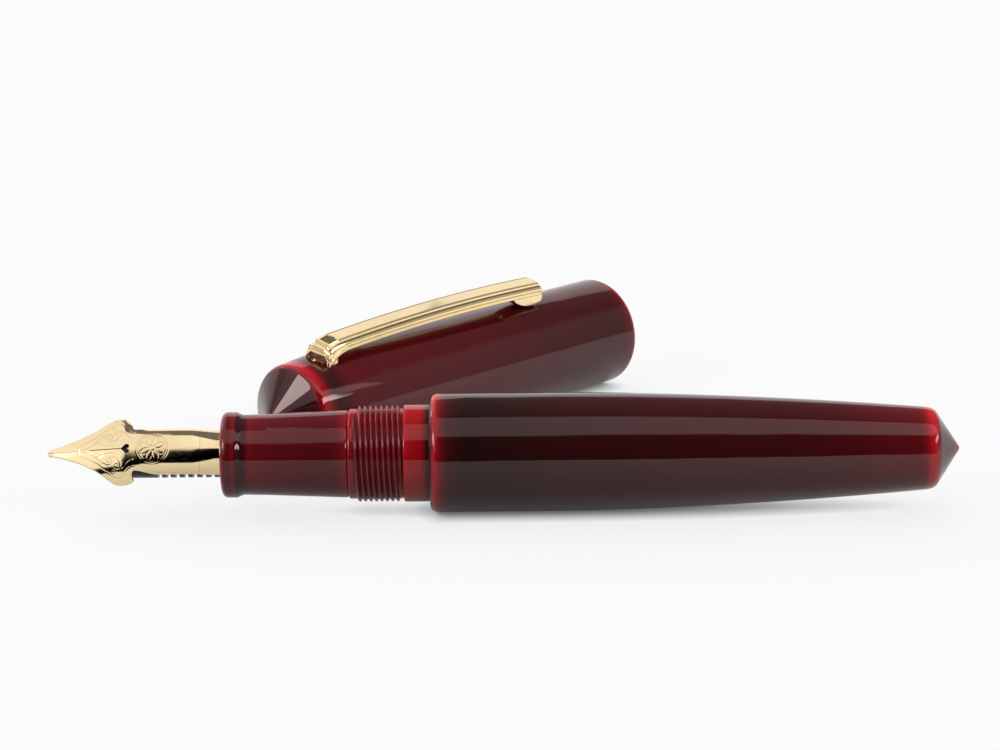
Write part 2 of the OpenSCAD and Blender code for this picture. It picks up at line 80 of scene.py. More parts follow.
def frame_of(origin, x_axis, z_axis):
    """The matrix that carries a drawing in millimetres to its place in metres."""
    x, z = Vector(x_axis).normalized(), Vector(z_axis).normalized()
    axes = Matrix((x, z.cross(x), z)).transposed()
    return Matrix.Translation(origin) @ axes.to_4x4() @ Matrix.Scale(MM, 4)


barrel_low, barrel_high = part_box("barrel")
barrel_middle = (barrel_low + barrel_high) / 2
barrel_r = (barrel_high.z - barrel_low.z) / 2 / MM
pen_origin = Vector((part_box("nib")[0].x, barrel_middle.y, barrel_middle.z))
pen_frame = frame_of(pen_origin, (1, 0, 0), (0, 0, 1))

mouth = next(m for m in frame["record"]["mounts"] if m["name"] == "cap_mouth")
flex = next(j for j in frame["joints"] if j["name"] == "clip_flex")
cap_along = -Vector(mouth["axis"])
cap_up = cap_along.cross(Vector(flex["axis"]))
cap_low, cap_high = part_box("cap_shell")
cap_r = (cap_high.z - cap_low.z) / 2 / MM
stations = [v.co.dot(cap_along) for v in frame["nodes"]["cap_shell"].data.vertices]
cap_origin = Vector(mouth["pos_m"])
cap_origin += cap_along * (min(stations) - cap_origin.dot(cap_along))
cap_frame = frame_of(cap_origin, cap_along, cap_up)
print("barrel radius %.3f mm, cap radius %.3f mm, cap length %.2f mm"
      % (barrel_r, cap_r, (max(stations) - min(stations)) / MM))

# %% [markdown]
# ## The camera
#
# A small object looks right when the camera stands well back with a long lens: the lines stay
# nearly parallel, as in a catalogue. The camera stands 380 mm from the pen and looks down by 15
# degrees. It leans by about half a degree, so the pen rises a little towards its tail.

# %% Camera
VIEW_DOWN = math.radians(15)
VIEW_DISTANCE = 0.380
LEAN = math.radians(0.56)
LENS = 105.4

camera_data = bpy.data.cameras.new("camera")
camera_data.sensor_width = 36
camera_data.lens = LENS
camera_data.clip_start = 0.01
camera = bpy.data.objects.new("camera", camera_data)
bpy.context.scene.collection.objects.link(camera)
target = Vector((-0.00045, pen_origin.y, 0.01819))
camera.location = target + VIEW_DISTANCE * Vector((0, -math.cos(VIEW_DOWN), math.sin(VIEW_DOWN)))
camera.matrix_world = (Matrix.Translation(camera.location)
                       @ Matrix.Rotation(math.radians(90) - VIEW_DOWN, 4, "X")
                       @ Matrix.Rotation(-LEAN, 4, "Z"))
bpy.context.scene.camera = camera
bpy.context.scene.view_settings.view_transform = "Standard"
print("camera at", [round(v, 3) for v in camera.location], "lens", LENS)

# %% [markdown]
# ## Node trees in a few words
#
# Each finish is a small graph of shader nodes. These helpers add a node, set its inputs and join
# it to others, so a material reads like a list of steps. A value that is a socket is linked, and
# any other value is written on the input itself.

# %% Helpers for node trees


def fill(made, inputs):
    """Links a socket to each named input of a node, or writes a plain value on it."""
    for key, value in inputs.items():
        if isinstance(value, bpy.types.NodeSocket):
            made.id_data.links.new(value, made.inputs[key])
        else:
            made.inputs[key].default_value = value


def node(tree, kind, inputs=None, **settings):
    """Adds a node, sets its properties, and links or fills its inputs."""
    made = tree.nodes.new(kind)
    for key, value in settings.items():
        setattr(made, key, value)
    fill(made, inputs or {})
    return made


def calc(tree, operation, *values, clamp=False):
    """A Math node's result."""
    return node(tree, "ShaderNodeMath", dict(enumerate(values)),
                operation=operation, use_clamp=clamp).outputs[0]

# %% [markdown]
# ## Steps that come back
#
# A few steps are used again and again: joining several values, a soft edge, taking a vector apart
# and blending two numbers.

# %% More helpers for node trees


def combined(tree, operation, *values):
    """Joins any number of values by one operation, two at a time."""
    result = values[0]
    for value in values[1:]:
        result = calc(tree, operation, result, value)
    return result


def smooth_step(tree, value, low, high):
    """0 below low, 1 above high, with a soft change between; low above high turns it round."""
    return node(tree, "ShaderNodeMapRange", {"Value": value, "From Min": low, "From Max": high},
                interpolation_type="SMOOTHSTEP").outputs["Result"]


def parts(tree, vector):
    """The outputs "X", "Y" and "Z" of a vector."""
    return node(tree, "ShaderNodeSeparateXYZ", {"Vector": vector}).outputs


def mix(tree, share, one, other):
    """A number between one and other."""
    return node(tree, "ShaderNodeMix", {"Factor": share, "A": one, "B": other}).outputs["Result"]

# %% [markdown]
# ## A small white studio
#
# Polished lacquer and gold have almost no look of their own: they show the room. So the room is
# designed first. It has no walls or lamps that one could walk round: it is painted in the world by
# direction. A bright window is a soft-edged rectangle round one direction, and its azimuth is 0 at
# the front and grows to the right.

# %% Light by direction


def towards(azimuth, elevation):
    """The direction at these angles."""
    a, e = math.radians(azimuth), math.radians(elevation)
    return Vector((math.sin(a) * math.cos(e), -math.cos(a) * math.cos(e), math.sin(e)))


def component(tree, vector, axis):
    """How far a direction points along an axis."""
    return node(tree, "ShaderNodeVectorMath", {0: vector, 1: tuple(axis)},
                operation="DOT_PRODUCT").outputs["Value"]


def window(tree, vector, azimuth, elevation, half_width, half_height, soft, level):
    """A bright rectangle in the room, at these angles and half sizes in degrees."""
    centre = towards(azimuth, elevation)
    across = Vector((0, 0, 1)).cross(centre).normalized()
    forward = calc(tree, "MAXIMUM", component(tree, vector, centre), 0.001)
    masks = []
    for axis, half in ((across, half_width), (centre.cross(across), half_height)):
        offset = calc(tree, "DIVIDE", component(tree, vector, axis), forward)
        reach = math.tan(math.radians(half))
        masks.append(smooth_step(tree, calc(tree, "ABSOLUTE", offset), reach + soft, reach - soft))
    return combined(tree, "MULTIPLY", *masks, smooth_step(tree, forward, 0.05, 0.1), level)


world = bpy.data.worlds.new("studio")
bpy.context.scene.world = world
world.use_nodes = True
sky = world.node_tree
sky.nodes.clear()
direction = node(sky, "ShaderNodeTexCoord").outputs["Generated"]
heading = parts(sky, direction)
print("world:", world.name)

# %% [markdown]
# ## The large lights
#
# A broad soft light hangs above and a little in front. It is drawn on a ceiling one unit above the
# pen: its front edge slants away on the right, and it reaches further back and is dimmer on the
# left. A pale backdrop stands low behind, the side walls are grey, and the space in front stays
# dark, which leaves the calm black band along the barrel.

# %% Soft light, backdrop and walls
SOFTBOX_FRONT, SOFTBOX_BACK, SOFTBOX_LEFT = (-1.0, -0.86), (0.0, -0.06), (-2.4, -1.6)
SOFTBOX_DIMMEST, SOFTBOX_BRIGHTEST = 0.95, 1.6
SIDE_LEVEL, REAR_LEVEL = 0.45, 0.17

up = calc(sky, "MAXIMUM", heading["Z"], 0.001)
over_x = calc(sky, "DIVIDE", heading["X"], up)
over_y = calc(sky, "DIVIDE", heading["Y"], up)
slant = calc(sky, "MULTIPLY", calc(sky, "MAXIMUM", over_x, 0.0), 0.4)
reach_back = calc(sky, "MAXIMUM", calc(sky, "MULTIPLY_ADD", over_x, -1.0, -0.12), 0.0)
reach_back = calc(sky, "MULTIPLY", reach_back, 6.0)
brightness = calc(sky, "MULTIPLY_ADD", over_x, 0.8, 1.0)
brightness = calc(sky, "MAXIMUM", brightness, SOFTBOX_DIMMEST)
softbox = combined(sky, "MULTIPLY",
                   smooth_step(sky, calc(sky, "SUBTRACT", over_y, slant), *SOFTBOX_FRONT),
                   smooth_step(sky, calc(sky, "SUBTRACT", over_y, reach_back), *SOFTBOX_BACK),
                   smooth_step(sky, over_x, *SOFTBOX_LEFT),
                   calc(sky, "MINIMUM", brightness, SOFTBOX_BRIGHTEST))

lower_right = calc(sky, "MAXIMUM", calc(sky, "SUBTRACT", over_x, 0.1), 0.0)
lower_right = calc(sky, "MULTIPLY", lower_right, 1.2)
backdrop = smooth_step(sky, calc(sky, "SUBTRACT", over_y, lower_right), 1.55, 1.95)
sides = smooth_step(sky, calc(sky, "ABSOLUTE", heading["X"]), 0.62, 0.86)
sides = calc(sky, "MULTIPLY", sides, SIDE_LEVEL)
rear_wall = calc(sky, "MULTIPLY", smooth_step(sky, heading["Y"], -0.05, 0.1), REAR_LEVEL)
print("large lights:", len(sky.nodes), "nodes")

# %% [markdown]
# ## Windows, and who sees what
#
# A wall of light at the left brightens all that faces it, and three small lamps, at the left, at
# the right and behind, put a spark on every rounded edge. The Light Path node then tells three
# kinds of rays apart. Polished surfaces see this room, matt surfaces are lit by an even light
# from above and behind, and the camera itself sees plain white, as does clear plastic.

# %% Windows and rays
WINDOWS = {"left wall": (-34, 32, 15, 18, 0.03, 1.0), "left lamp": (-60, 31, 13, 9, 0.02, 9.0),
           "right lamp": (61, 30, 18, 5, 0.02, 10.0), "rear lamp": (-132, 23, 9, 8, 0.02, 8.0)}
WHITE_SEEN = 0.955
MATT_LEAST, MATT_MORE = 0.06, 2.2

windows = [window(sky, direction, *sizes) for sizes in WINDOWS.values()]
room = combined(sky, "MAXIMUM", softbox, backdrop, sides, rear_wall, *windows)
above = calc(sky, "MAXIMUM", component(sky, direction, towards(180, 50)), 0.0)
matt_light = calc(sky, "MULTIPLY_ADD", calc(sky, "MULTIPLY", above, above), MATT_MORE, MATT_LEAST)
path = node(sky, "ShaderNodeLightPath").outputs
seen = calc(sky, "ADD", path["Is Camera Ray"], path["Is Transmission Ray"], clamp=True)
strength = mix(sky, seen, mix(sky, path["Is Diffuse Ray"], room, matt_light), WHITE_SEEN)
background = node(sky, "ShaderNodeBackground", {"Color": (1, 1, 1, 1), "Strength": strength})
node(sky, "ShaderNodeOutputWorld", {"Surface": background.outputs[0]})
print("windows:", ", ".join(WINDOWS), "- studio nodes:", len(sky.nodes))

# %% [markdown]
# ## Working by hand, in code
#
# Blender's operators act on whatever is selected, and each works in object mode or in edit mode.
# So selecting and changing mode get short names of their own. A flat sheet is a plane, divided into
# smaller faces.

# %% Selecting, modes and new planes


def only(*objects):
    """Selects these objects and nothing else; the last one becomes active."""
    bpy.ops.object.select_all(action="DESELECT")
    for obj in objects:
        obj.select_set(True)
        bpy.context.view_layer.objects.active = obj


def mode(name):
    """Changes to object mode or edit mode."""
    bpy.ops.object.mode_set(mode=name)


def named(name):
    """The object that was just added, with its new name."""
    obj = bpy.context.object
    obj.name = obj.data.name = name
    return obj


def cut_up(cuts):
    """Divides every face of the active object."""
    mode("EDIT")
    bpy.ops.mesh.subdivide(number_cuts=cuts)
    mode("OBJECT")

# %% [markdown]
# ## What every material starts with
#
# A material's pattern follows the piece's own coordinates, so it moves with the piece. The sheet
# and the card below mix two shaders of their own, so their usual shader is taken out.

# %% Helpers for materials


def material(name):
    """An empty material with its shader; returns the material, its tree and the shader."""
    mat = bpy.data.materials.new(name)
    mat.use_nodes = True
    tree = mat.node_tree
    return mat, tree, tree.nodes["Principled BSDF"]


def place_on(tree):
    """The shaded point, in the piece's own coordinates."""
    return node(tree, "ShaderNodeTexCoord").outputs["Object"]


def noise(tree, place, scale, detail=2.0, **more):
    """A soft random pattern."""
    return node(tree, "ShaderNodeTexNoise",
                {"Vector": place, "Scale": scale, "Detail": detail, **more}).outputs["Fac"]


def show_mixed(tree, shader, share, one, other):
    """Shows a mix of two shaders in place of the usual one."""
    mixed = node(tree, "ShaderNodeMixShader", {0: share, 1: one.outputs[0], 2: other.outputs[0]})
    fill(tree.nodes["Material Output"], {"Surface": mixed.outputs[0]})
    tree.nodes.remove(shader)

# %% [markdown]
# ## The table
#
# The pen lies on a glossless white sheet, and its shadow is faint. The sheet glows white, and the
# glow is dimmed where something nearly touches it, which paints a contact shadow there. In mirrors
# the near part of the sheet carries a painted shade, deeper at the left, and it lights the pen's
# underside only a little.

# %% Table sheet
SHEET_WHITE = 0.928
SHEET_SHADE_LEFT, SHEET_SHADE_RIGHT = 0.28, 0.01
CONTACT_REACH = 0.0022

only()
bpy.ops.mesh.primitive_plane_add(size=4, location=(0, 0, 0))
table = named("table_sheet")
cut_up(8)
sheet, tree, shader = material("white_sheet")
place = place_on(tree)
where = parts(tree, place)
path = node(tree, "ShaderNodeLightPath").outputs
# Painted shade: in mirrors the sheet in front of the pen is darker, most at the left.
in_front = smooth_step(tree, where["Y"], 0.06, -0.03)
darker = calc(tree, "MULTIPLY_ADD", smooth_step(tree, where["X"], -0.03, 0.07),
              SHEET_SHADE_RIGHT - SHEET_SHADE_LEFT, SHEET_SHADE_LEFT)
painted_mirror_shade = combined(tree, "MULTIPLY", in_front, darker, path["Is Glossy Ray"])
for_matt = calc(tree, "MULTIPLY", path["Is Diffuse Ray"], 0.72)
paper = calc(tree, "MULTIPLY_ADD", noise(tree, place, 900.0), 0.004, SHEET_WHITE)
white = calc(tree, "SUBTRACT", 1.0, calc(tree, "ADD", painted_mirror_shade, for_matt))
white = calc(tree, "MULTIPLY", white, paper)
pale = node(tree, "ShaderNodeCombineColor", {"Red": white, "Green": white, "Blue": white})
# Painted contact shadow: ambient occlusion dims the sheet's glow where something nearly touches it.
contact_shadow_ao = node(tree, "ShaderNodeAmbientOcclusion", {"Distance": CONTACT_REACH}, samples=4)
painted_contact_shadow_glow = calc(tree, "POWER", contact_shadow_ao.outputs["AO"], 0.5)
painted_contact_shadow_glow = calc(tree, "MULTIPLY_ADD", painted_contact_shadow_glow, 0.9, 0.1)
glow_share = calc(tree, "MULTIPLY_ADD", path["Is Camera Ray"], 0.36, 0.5)
show_mixed(tree, shader, glow_share,
           node(tree, "ShaderNodeBsdfDiffuse", {"Color": pale.outputs[0]}),
           node(tree, "ShaderNodeEmission", {"Color": pale.outputs[0], "Strength": painted_contact_shadow_glow}))
table.data.materials.append(sheet)
print("sheet:", len(table.data.polygons), "faces")

# %% [markdown]
# ## The card
#
# A white card stands eleven centimetres behind the pen. Only polished surfaces see it, and it fills
# the clip's flat top with light. Its upper edge is a ramp: higher at the left than at the right.

# %% Light card
CARD_BEHIND, CARD_LOW, CARD_HIGH, CARD_WIDE = 0.110, 0.006, 0.099, 0.5
CARD_TOP_LEFT, CARD_TOP_RIGHT = 0.100, 0.064

only()
bpy.ops.mesh.primitive_plane_add(
    size=1, location=(0, pen_origin.y + CARD_BEHIND, CARD_LOW + CARD_HIGH / 2),
    rotation=(math.radians(90), 0, 0))
card = named("light_card")
card.scale = (CARD_WIDE, CARD_HIGH, 1)
bpy.ops.object.transform_apply(location=True, rotation=True, scale=True)
cut_up(2)
card_white, tree, shader = material("card_white")
where = parts(tree, place_on(tree))
top = calc(tree, "MULTIPLY_ADD", smooth_step(tree, where["X"], -0.012, -0.003),
           CARD_TOP_RIGHT - CARD_TOP_LEFT, CARD_TOP_LEFT)
under_top = smooth_step(tree, calc(tree, "SUBTRACT", where["Z"], top), 0.003, -0.003)
to_mirrors = node(tree, "ShaderNodeLightPath").outputs["Is Glossy Ray"]
show_mixed(tree, shader, calc(tree, "MULTIPLY", to_mirrors, under_top),
           node(tree, "ShaderNodeBsdfTransparent"),
           node(tree, "ShaderNodeEmission", {"Strength": 1.0}))
card.data.materials.append(card_white)
print("card: %.0f mm high" % (CARD_HIGH / MM))

# %% [markdown]
# ## Shared effects
#
# Two effects are used by several finishes, so each is a node group: fine handling marks, which
# make polish a little less than perfect, and the faint rings that a lathe tool leaves.

# %% Node groups: handling marks and lathe rings


def new_group(name, inputs, output):
    """A node group; an input is a vector if its value is None. Returns its tree and two ends."""
    tree = bpy.data.node_groups.new(name, "ShaderNodeTree")
    for label, value in inputs.items():
        kind = "NodeSocketVector" if value is None else "NodeSocketFloat"
        socket = tree.interface.new_socket(name=label, in_out="INPUT", socket_type=kind)
        if value is not None:
            socket.default_value = value
    tree.interface.new_socket(name=output, in_out="OUTPUT", socket_type="NodeSocketFloat")
    return tree, node(tree, "NodeGroupInput").outputs, node(tree, "NodeGroupOutput")


marks, given, result = new_group("handling_marks",
                                 {"Vector": None, "Scale": 400.0, "Amount": 0.1}, "Mark")
stretched = node(marks, "ShaderNodeMapping", {"Vector": given["Vector"], "Scale": (1, 14, 14),
                                              "Rotation": (0.3, 0.2, 0.7)}).outputs[0]
scratches = noise(marks, stretched, given["Scale"], 3.0, Roughness=0.6)
thin_lines = smooth_step(marks, scratches, 0.62, 0.72)
smudges = smooth_step(marks, noise(marks, given["Vector"], 90.0), 0.45, 0.75)
both = calc(marks, "ADD", thin_lines, calc(marks, "MULTIPLY", smudges, 0.4))
fill(result, {"Mark": calc(marks, "MULTIPLY", both, given["Amount"])})

turning, given, result = new_group("lathe_rings",
                                   {"Along": 0.0, "Pitch": 0.0002, "Depth": 1.0}, "Height")
turn_count = calc(turning, "DIVIDE", given["Along"], given["Pitch"])
wave = calc(turning, "SINE", calc(turning, "MULTIPLY", turn_count, 2 * math.pi))
uneven = node(turning, "ShaderNodeTexNoise", {"W": turn_count, "Scale": 0.37, "Detail": 1.0},
              noise_dimensions="1D").outputs["Fac"]
fill(result, {"Height": combined(turning, "MULTIPLY", wave, uneven, given["Depth"])})
print("groups:", [g.name for g in bpy.data.node_groups])

# %% [markdown]
# ## Parts of a finish
#
# Colour comes from a ramp, roughness from the handling marks, and a slight unevenness from a bump.
# Some pieces also carry numbers at their points, which a material reads by name.

# %% Helpers for finishes


def ramp(tree, fac, stops):
    """A colour ramp: (position, colour) stops."""
    made = node(tree, "ShaderNodeValToRGB", {"Fac": fac})
    elements = made.color_ramp.elements
    while len(elements) < len(stops):
        elements.new(0.5)
    for stop, (position, colour) in zip(elements, stops):
        stop.position = position
        stop.color = (*colour, 1)
    return made.outputs["Color"]


def worn(tree, place, scale, amount, roughness):
    """A roughness with handling marks in it."""
    mark = node(tree, "ShaderNodeGroup", {"Vector": place, "Scale": scale, "Amount": amount},
                node_tree=marks).outputs["Mark"]
    return calc(tree, "ADD", mark, roughness)


def bumped(tree, height, strength, distance):
    """A normal that follows a height."""
    return node(tree, "ShaderNodeBump", {"Height": height, "Strength": strength,
                                         "Distance": distance}).outputs[0]


def carried(tree, name):
    """A number that the piece's own points carry."""
    return node(tree, "ShaderNodeAttribute", attribute_name=name).outputs["Fac"]

# %% [markdown]
# ## Lacquer with light in it
#
# The pen is finished with many coats of clear brown lacquer over red. Where the coats lie thick it
# is nearly black, and where polishing has thinned them, on every edge and lip, the red glows
# through. Each turned piece therefore carries a number at every point, called thinness, and the
# material turns it into colour. A little slow noise keeps the change from looking printed.

# %% Lacquer
LACQUER_STOPS = [(0.0, (0.015, 0.005, 0.004)), (0.25, (0.036, 0.005, 0.006)),
                 (0.45, (0.068, 0.005, 0.007)), (0.6, (0.115, 0.006, 0.009)),
                 (0.75, (0.20, 0.007, 0.011)), (0.88, (0.40, 0.006, 0.010)),
                 (1.0, (0.64, 0.02, 0.03))]

lacquer, tree, shader = material("lacquer")
place = place_on(tree)
drift = calc(tree, "MULTIPLY_ADD", noise(tree, place, 160.0), 0.10, -0.05)
thin = calc(tree, "ADD", carried(tree, "thinness"), drift, clamp=True)
fill(shader, {"Base Color": ramp(tree, thin, LACQUER_STOPS),
              "Roughness": worn(tree, place, 700.0, 0.07, 0.028),
              "Normal": bumped(tree, noise(tree, place, 210.0, 1.0), 0.035, 0.001),
              "IOR": 1.5, "Specular Tint": (1.0, 0.76, 0.76, 1)})
print("lacquer:", len(tree.nodes), "nodes")

# %% [markdown]
# ## Gold, two ways
#
# The nib is pale fourteen-carat gold and the clip is gold plate, a little warmer. Both are polished
# metal, so their colour shows only in what they reflect. Handling marks roughen them slightly. The
# nib also carries a number for its engraved lines, which paints shade into the bottom of each line.

# %% Gold for the nib and the clip


def polished_gold(name, colour, roughness, scale):
    """Bright gold that varies a little; returns the material, its tree and its shader."""
    mat, tree, shader = material(name)
    place = place_on(tree)
    darker = tuple(v * 0.94 for v in colour)
    tone = noise(tree, place, 300.0)
    fill(shader, {"Base Color": ramp(tree, tone, [(0.3, darker), (0.7, colour)]),
                  "Roughness": worn(tree, place, scale, 0.16, roughness), "Metallic": 1.0})
    return mat, tree, shader


clip_gold = polished_gold("clip_gold", (0.96, 0.75, 0.42), 0.07, 500.0)[0]
nib_gold, tree, shader = polished_gold("nib_gold", (0.98, 0.78, 0.46), 0.09, 600.0)
plain_colour = shader.inputs["Base Color"].links[0].from_socket
# Painted shade: the engraved lines take a darker gold, standing in for the shade in their grooves.
painted_groove_shade = node(tree, "ShaderNodeMix", data_type="RGBA")
fill(painted_groove_shade, {0: calc(tree, "MULTIPLY", carried(tree, "groove_and_shade"), 0.55),
                  6: plain_colour, 7: (0.62, 0.42, 0.20, 1)})
fill(shader, {"Base Color": painted_groove_shade.outputs[2]})
print("golds:", nib_gold.name, clip_gold.name)

# %% [markdown]
# ## Black rubber, steel, brass and clear plastic
#
# The hidden works need quieter finishes: hard black rubber for the feed and the converter's
# fittings, bright steel for rod and screw, turned brass for the threaded sleeve, a clear tube.
# Each one varies a little over its surface, as machined things do.

# %% Finishes for the works


def plain_finish(name, light, dark, roughness, pitch=0.0, **values):
    """A two-tone finish; with a pitch in metres it also gets turned rings along X."""
    mat, tree, shader = material(name)
    place = place_on(tree)
    tone = noise(tree, place, 500.0, 3.0)
    fill(shader, {"Base Color": ramp(tree, tone, [(0.3, dark), (0.7, light)]),
                  "Roughness": worn(tree, place, 500.0, 0.18, roughness), **values})
    if pitch:
        height = node(tree, "ShaderNodeGroup", {"Along": parts(tree, place)["X"], "Pitch": pitch,
                                                "Depth": 1.0}, node_tree=turning)
        fill(shader, {"Normal": bumped(tree, height.outputs[0], 0.25, 0.00002)})
    return mat


METAL = {"Metallic": 1.0}
ebonite = plain_finish("ebonite", (0.010, 0.010, 0.013), (0.005, 0.005, 0.008), 0.22, 0.00011,
                       **{"Specular IOR Level": 0.3})
steel = plain_finish("steel", (0.62, 0.63, 0.65), (0.54, 0.55, 0.57), 0.18, 0.00008, **METAL)
alloy = plain_finish("tip_alloy", (0.70, 0.71, 0.72), (0.62, 0.63, 0.65), 0.10, **METAL)
brass = plain_finish("sleeve_brass", (0.72, 0.52, 0.22), (0.62, 0.43, 0.17), 0.20, 0.00012, **METAL)
band_gold = plain_finish("band_gold", (0.87, 0.64, 0.30), (0.80, 0.57, 0.25), 0.10, **METAL)
clear, tree, shader = material("clear_plastic")
fill(shader, {"Roughness": worn(tree, place_on(tree), 500.0, 0.15, 0.03), "IOR": 1.49,
              "Base Color": (0.96, 0.98, 0.98, 1), "Transmission Weight": 1.0})
print("finishes:", [m.name for m in bpy.data.materials])

# %% [markdown]
# ## The works keep their own shapes
#
# The converter, the sleeve, the feed's housing, the inner cap and the screw are right as they come
# from the mechanical model. They only need these finishes in their material slots.

# %% Finishes on the mechanical model's own pieces
WORKS = {brass: ["joint_sleeve"], clear: ["converter_tube"], band_gold: ["converter_band"],
         alloy: ["nib_pellet"], steel: ["piston_rod", "clip_washer", "clip_screw"],
         ebonite: ["feed_housing", "converter_socket", "converter_bush", "converter_knob",
                   "piston_head", "inner_cap"]}
for finish, names in WORKS.items():
    for name in names:
        slots = frame["nodes"][name].data.materials
        slots.clear()
        slots.append(finish)
print("pieces with a new finish:", sum(len(names) for names in WORKS.values()))

# %% [markdown]
# ## Modelling helpers
#
# A turned piece is made as on a lathe. A plane is added and merged to one point, the point is
# extruded along half of the outline, and the outline is spun round the X axis. Long straight
# stretches get extra points near their ends, which keeps the shading of a polished surface flat
# there instead of letting it smear towards the next corner.

# %% Helpers for points and whole meshes


def on_all(operator, **options):
    """Selects the whole mesh and applies one edit-mode operator to it."""
    bpy.ops.mesh.select_all(action="SELECT")
    operator(**options)


def skinned(obj, smooth_below):
    """Turns every face outwards, and shades smoothly across edges below this angle in degrees."""
    mode("EDIT")
    on_all(bpy.ops.mesh.normals_make_consistent, inside=False)
    mode("OBJECT")
    bpy.ops.object.shade_smooth_by_angle(angle=math.radians(smooth_below))
    return obj


def coordinates(obj):
    """The mesh's points, one row each."""
    flat = np.empty(len(obj.data.vertices) * 3)
    obj.data.vertices.foreach_get("co", flat)
    return flat.reshape(-1, 3)


def set_coordinates(obj, points):
    """Moves the mesh's points to new places."""
    obj.data.vertices.foreach_set("co", np.asarray(points, float).ravel())
    obj.data.update()


def off_axis(points):
    """Each point's distance from the X axis."""
    return np.hypot(points[:, 1], points[:, 2])


def carry(obj, name, values):
    """Gives every point of the mesh a number that materials can read."""
    layer = obj.data.attributes.new(name, "FLOAT", "POINT")
    layer.data.foreach_set("value", np.asarray(values, float))

# %% [markdown]
# ## Tables and equal steps
#
# Many shapes here are given by a short table of stations, with straight lines or soft corners
# between them.

# %% Helpers for tables


def looked_up(at, table, soften=0.0):
    """Values between the rows of an (at, value) table; soften rounds its corners."""
    ats, values = zip(*table)
    if not soften:
        return np.interp(at, ats, values)
    offsets = np.linspace(-soften, soften, 7)
    return sum(np.interp(np.clip(at + o, ats[0], ats[-1]), ats, values) for o in offsets) / 7


def spread(first, last, count):
    """Plain numbers from first to last, in count equal steps."""
    return [first + (last - first) * i / count for i in range(count + 1)]

# %% [markdown]
# ## A small lathe
#
# An outline is a list of (along, radius) points. It is drawn as a wire, one extrusion at a time.

# %% Helpers for outlines


def outline(name, points):
    """A wire through (along, radius) points, drawn in the XZ plane."""
    only()
    bpy.ops.mesh.primitive_plane_add(size=0.1)
    obj = named(name)
    mode("EDIT")
    on_all(bpy.ops.mesh.merge, type="CENTER")
    here = (0.0, 0.0)
    for number, point in enumerate(points):
        step = (point[0] - here[0], 0, point[1] - here[1])
        if number == 0:
            bpy.ops.transform.translate(value=step)
        else:
            bpy.ops.mesh.extrude_region_move(TRANSFORM_OT_translate={"value": step})
        here = point
    return obj


def guarded(points, guard=0.08, longest=0.8):
    """The same outline with extra points: near the ends of each long stretch, and along it."""
    full = [points[0]]
    for a, b in zip(points, points[1:]):
        length = math.dist(a, b)
        cuts = []
        if length > 5 * guard:
            pieces = max(1, math.ceil(length / longest))
            cuts = [guard / length, *(i / pieces for i in range(1, pieces)), 1 - guard / length]
        full += [tuple(p + (q - p) * t for p, q in zip(a, b)) for t in cuts]
        full.append(b)
    return full

# %% [markdown]
# ## Rounded edges
#
# No real edge is perfectly sharp, and every rounded one catches a line of light. So corners are
# short arcs, and the pen's two pointed ends are cones with a softened tip.

# %% Helpers for arcs and cones


def arc(x, r, radius, first, last, steps=10):
    """Points of an arc round (x, r); angle 0 points outwards and 90 to +X."""
    angles = [math.radians(a) for a in spread(first, last, steps)]
    return [(x + radius * math.sin(a), r + radius * math.cos(a)) for a in angles]


def rounded_corner(x, r, radius, first, last):
    """Points of an arc that rounds the corner at (x, r) between two outward angles."""
    middle, half = math.radians((first + last) / 2), math.radians((last - first) / 2)
    back = radius / math.cos(half)
    centre = x - back * math.sin(middle), r - back * math.cos(middle)
    return arc(*centre, radius, first, last)


def cone_point(edge_r, at, height, softness=0.7):
    """The rounded point of a cone that starts at (at, edge_r) and ends on the axis."""
    slope = math.atan2(height, edge_r)
    centre = at + height - softness / math.cos(slope)
    tip = arc(centre, 0, softness, 90 - math.degrees(slope), 90, 8)
    return tip[:-1] + [(tip[-1][0], 0.0)]

# %% [markdown]
# ## Spinning an outline
#
# The spin makes a shell that meets itself, so its doubled points are merged, which also closes its
# two ends on the axis. Then its faces are turned outwards and shaded smoothly.

# %% Helpers for turned pieces


def turned(name, points, steps=160):
    """Spins an outline into a closed, smooth shell."""
    obj = outline(name, points)
    on_all(bpy.ops.mesh.spin, steps=steps, angle=2 * math.pi, center=(0, 0, 0), axis=(1, 0, 0))
    on_all(bpy.ops.mesh.remove_doubles, threshold=0.0005)
    skinned(obj, 32)
    print(name, len(obj.data.vertices), "points")
    return obj


def joined(*objects):
    """Makes one object of several; it keeps the last one's name."""
    only(*objects)
    bpy.ops.object.join()
    return bpy.context.object

# %% [markdown]
# ## From the drawing board to the pen
#
# Each turned shell gets its thinness from a table of stations along it, and its bore is dark. A
# finished drawing is carried to its place, gets its material, rides on its body, and takes the
# place of the mechanical model's plainer piece.

# %% Helpers for finished pieces


def set_thinness(obj, table, bore_r, bore_from, bore_to, bore_thinness):
    """Thinness from a table outside, and one value inside the bore."""
    points = coordinates(obj)
    along = points[:, 0]
    in_bore = (off_axis(points) < bore_r) & (along > bore_from) & (along < bore_to)
    carry(obj, "thinness", np.where(in_bore, bore_thinness, looked_up(along, table)))


def settle(obj, frame_matrix, mat, body, slot_name, *nodes):
    """Carries a finished drawing to its place and hands it to its body."""
    only(obj)
    obj.matrix_world = frame_matrix
    bpy.ops.object.transform_apply(location=True, rotation=True, scale=True)
    obj.data.materials.clear()
    obj.data.materials.append(mat)
    if body:
        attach(obj, body)
    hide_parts(*nodes)
    print(obj.name, len(obj.data.polygons), "faces")

# %% [markdown]
# ## The barrel
#
# On the real pen this is one turned piece: a threaded neck, a smooth collar for the cap's mouth to
# close on, a rounded step, and a long body that swells, tapers and ends in a low cone. A lathe
# outline says all of that exactly. The bore is drawn too, because it shows when the section is
# unscrewed. The stations are millimetres from the nib's tip.

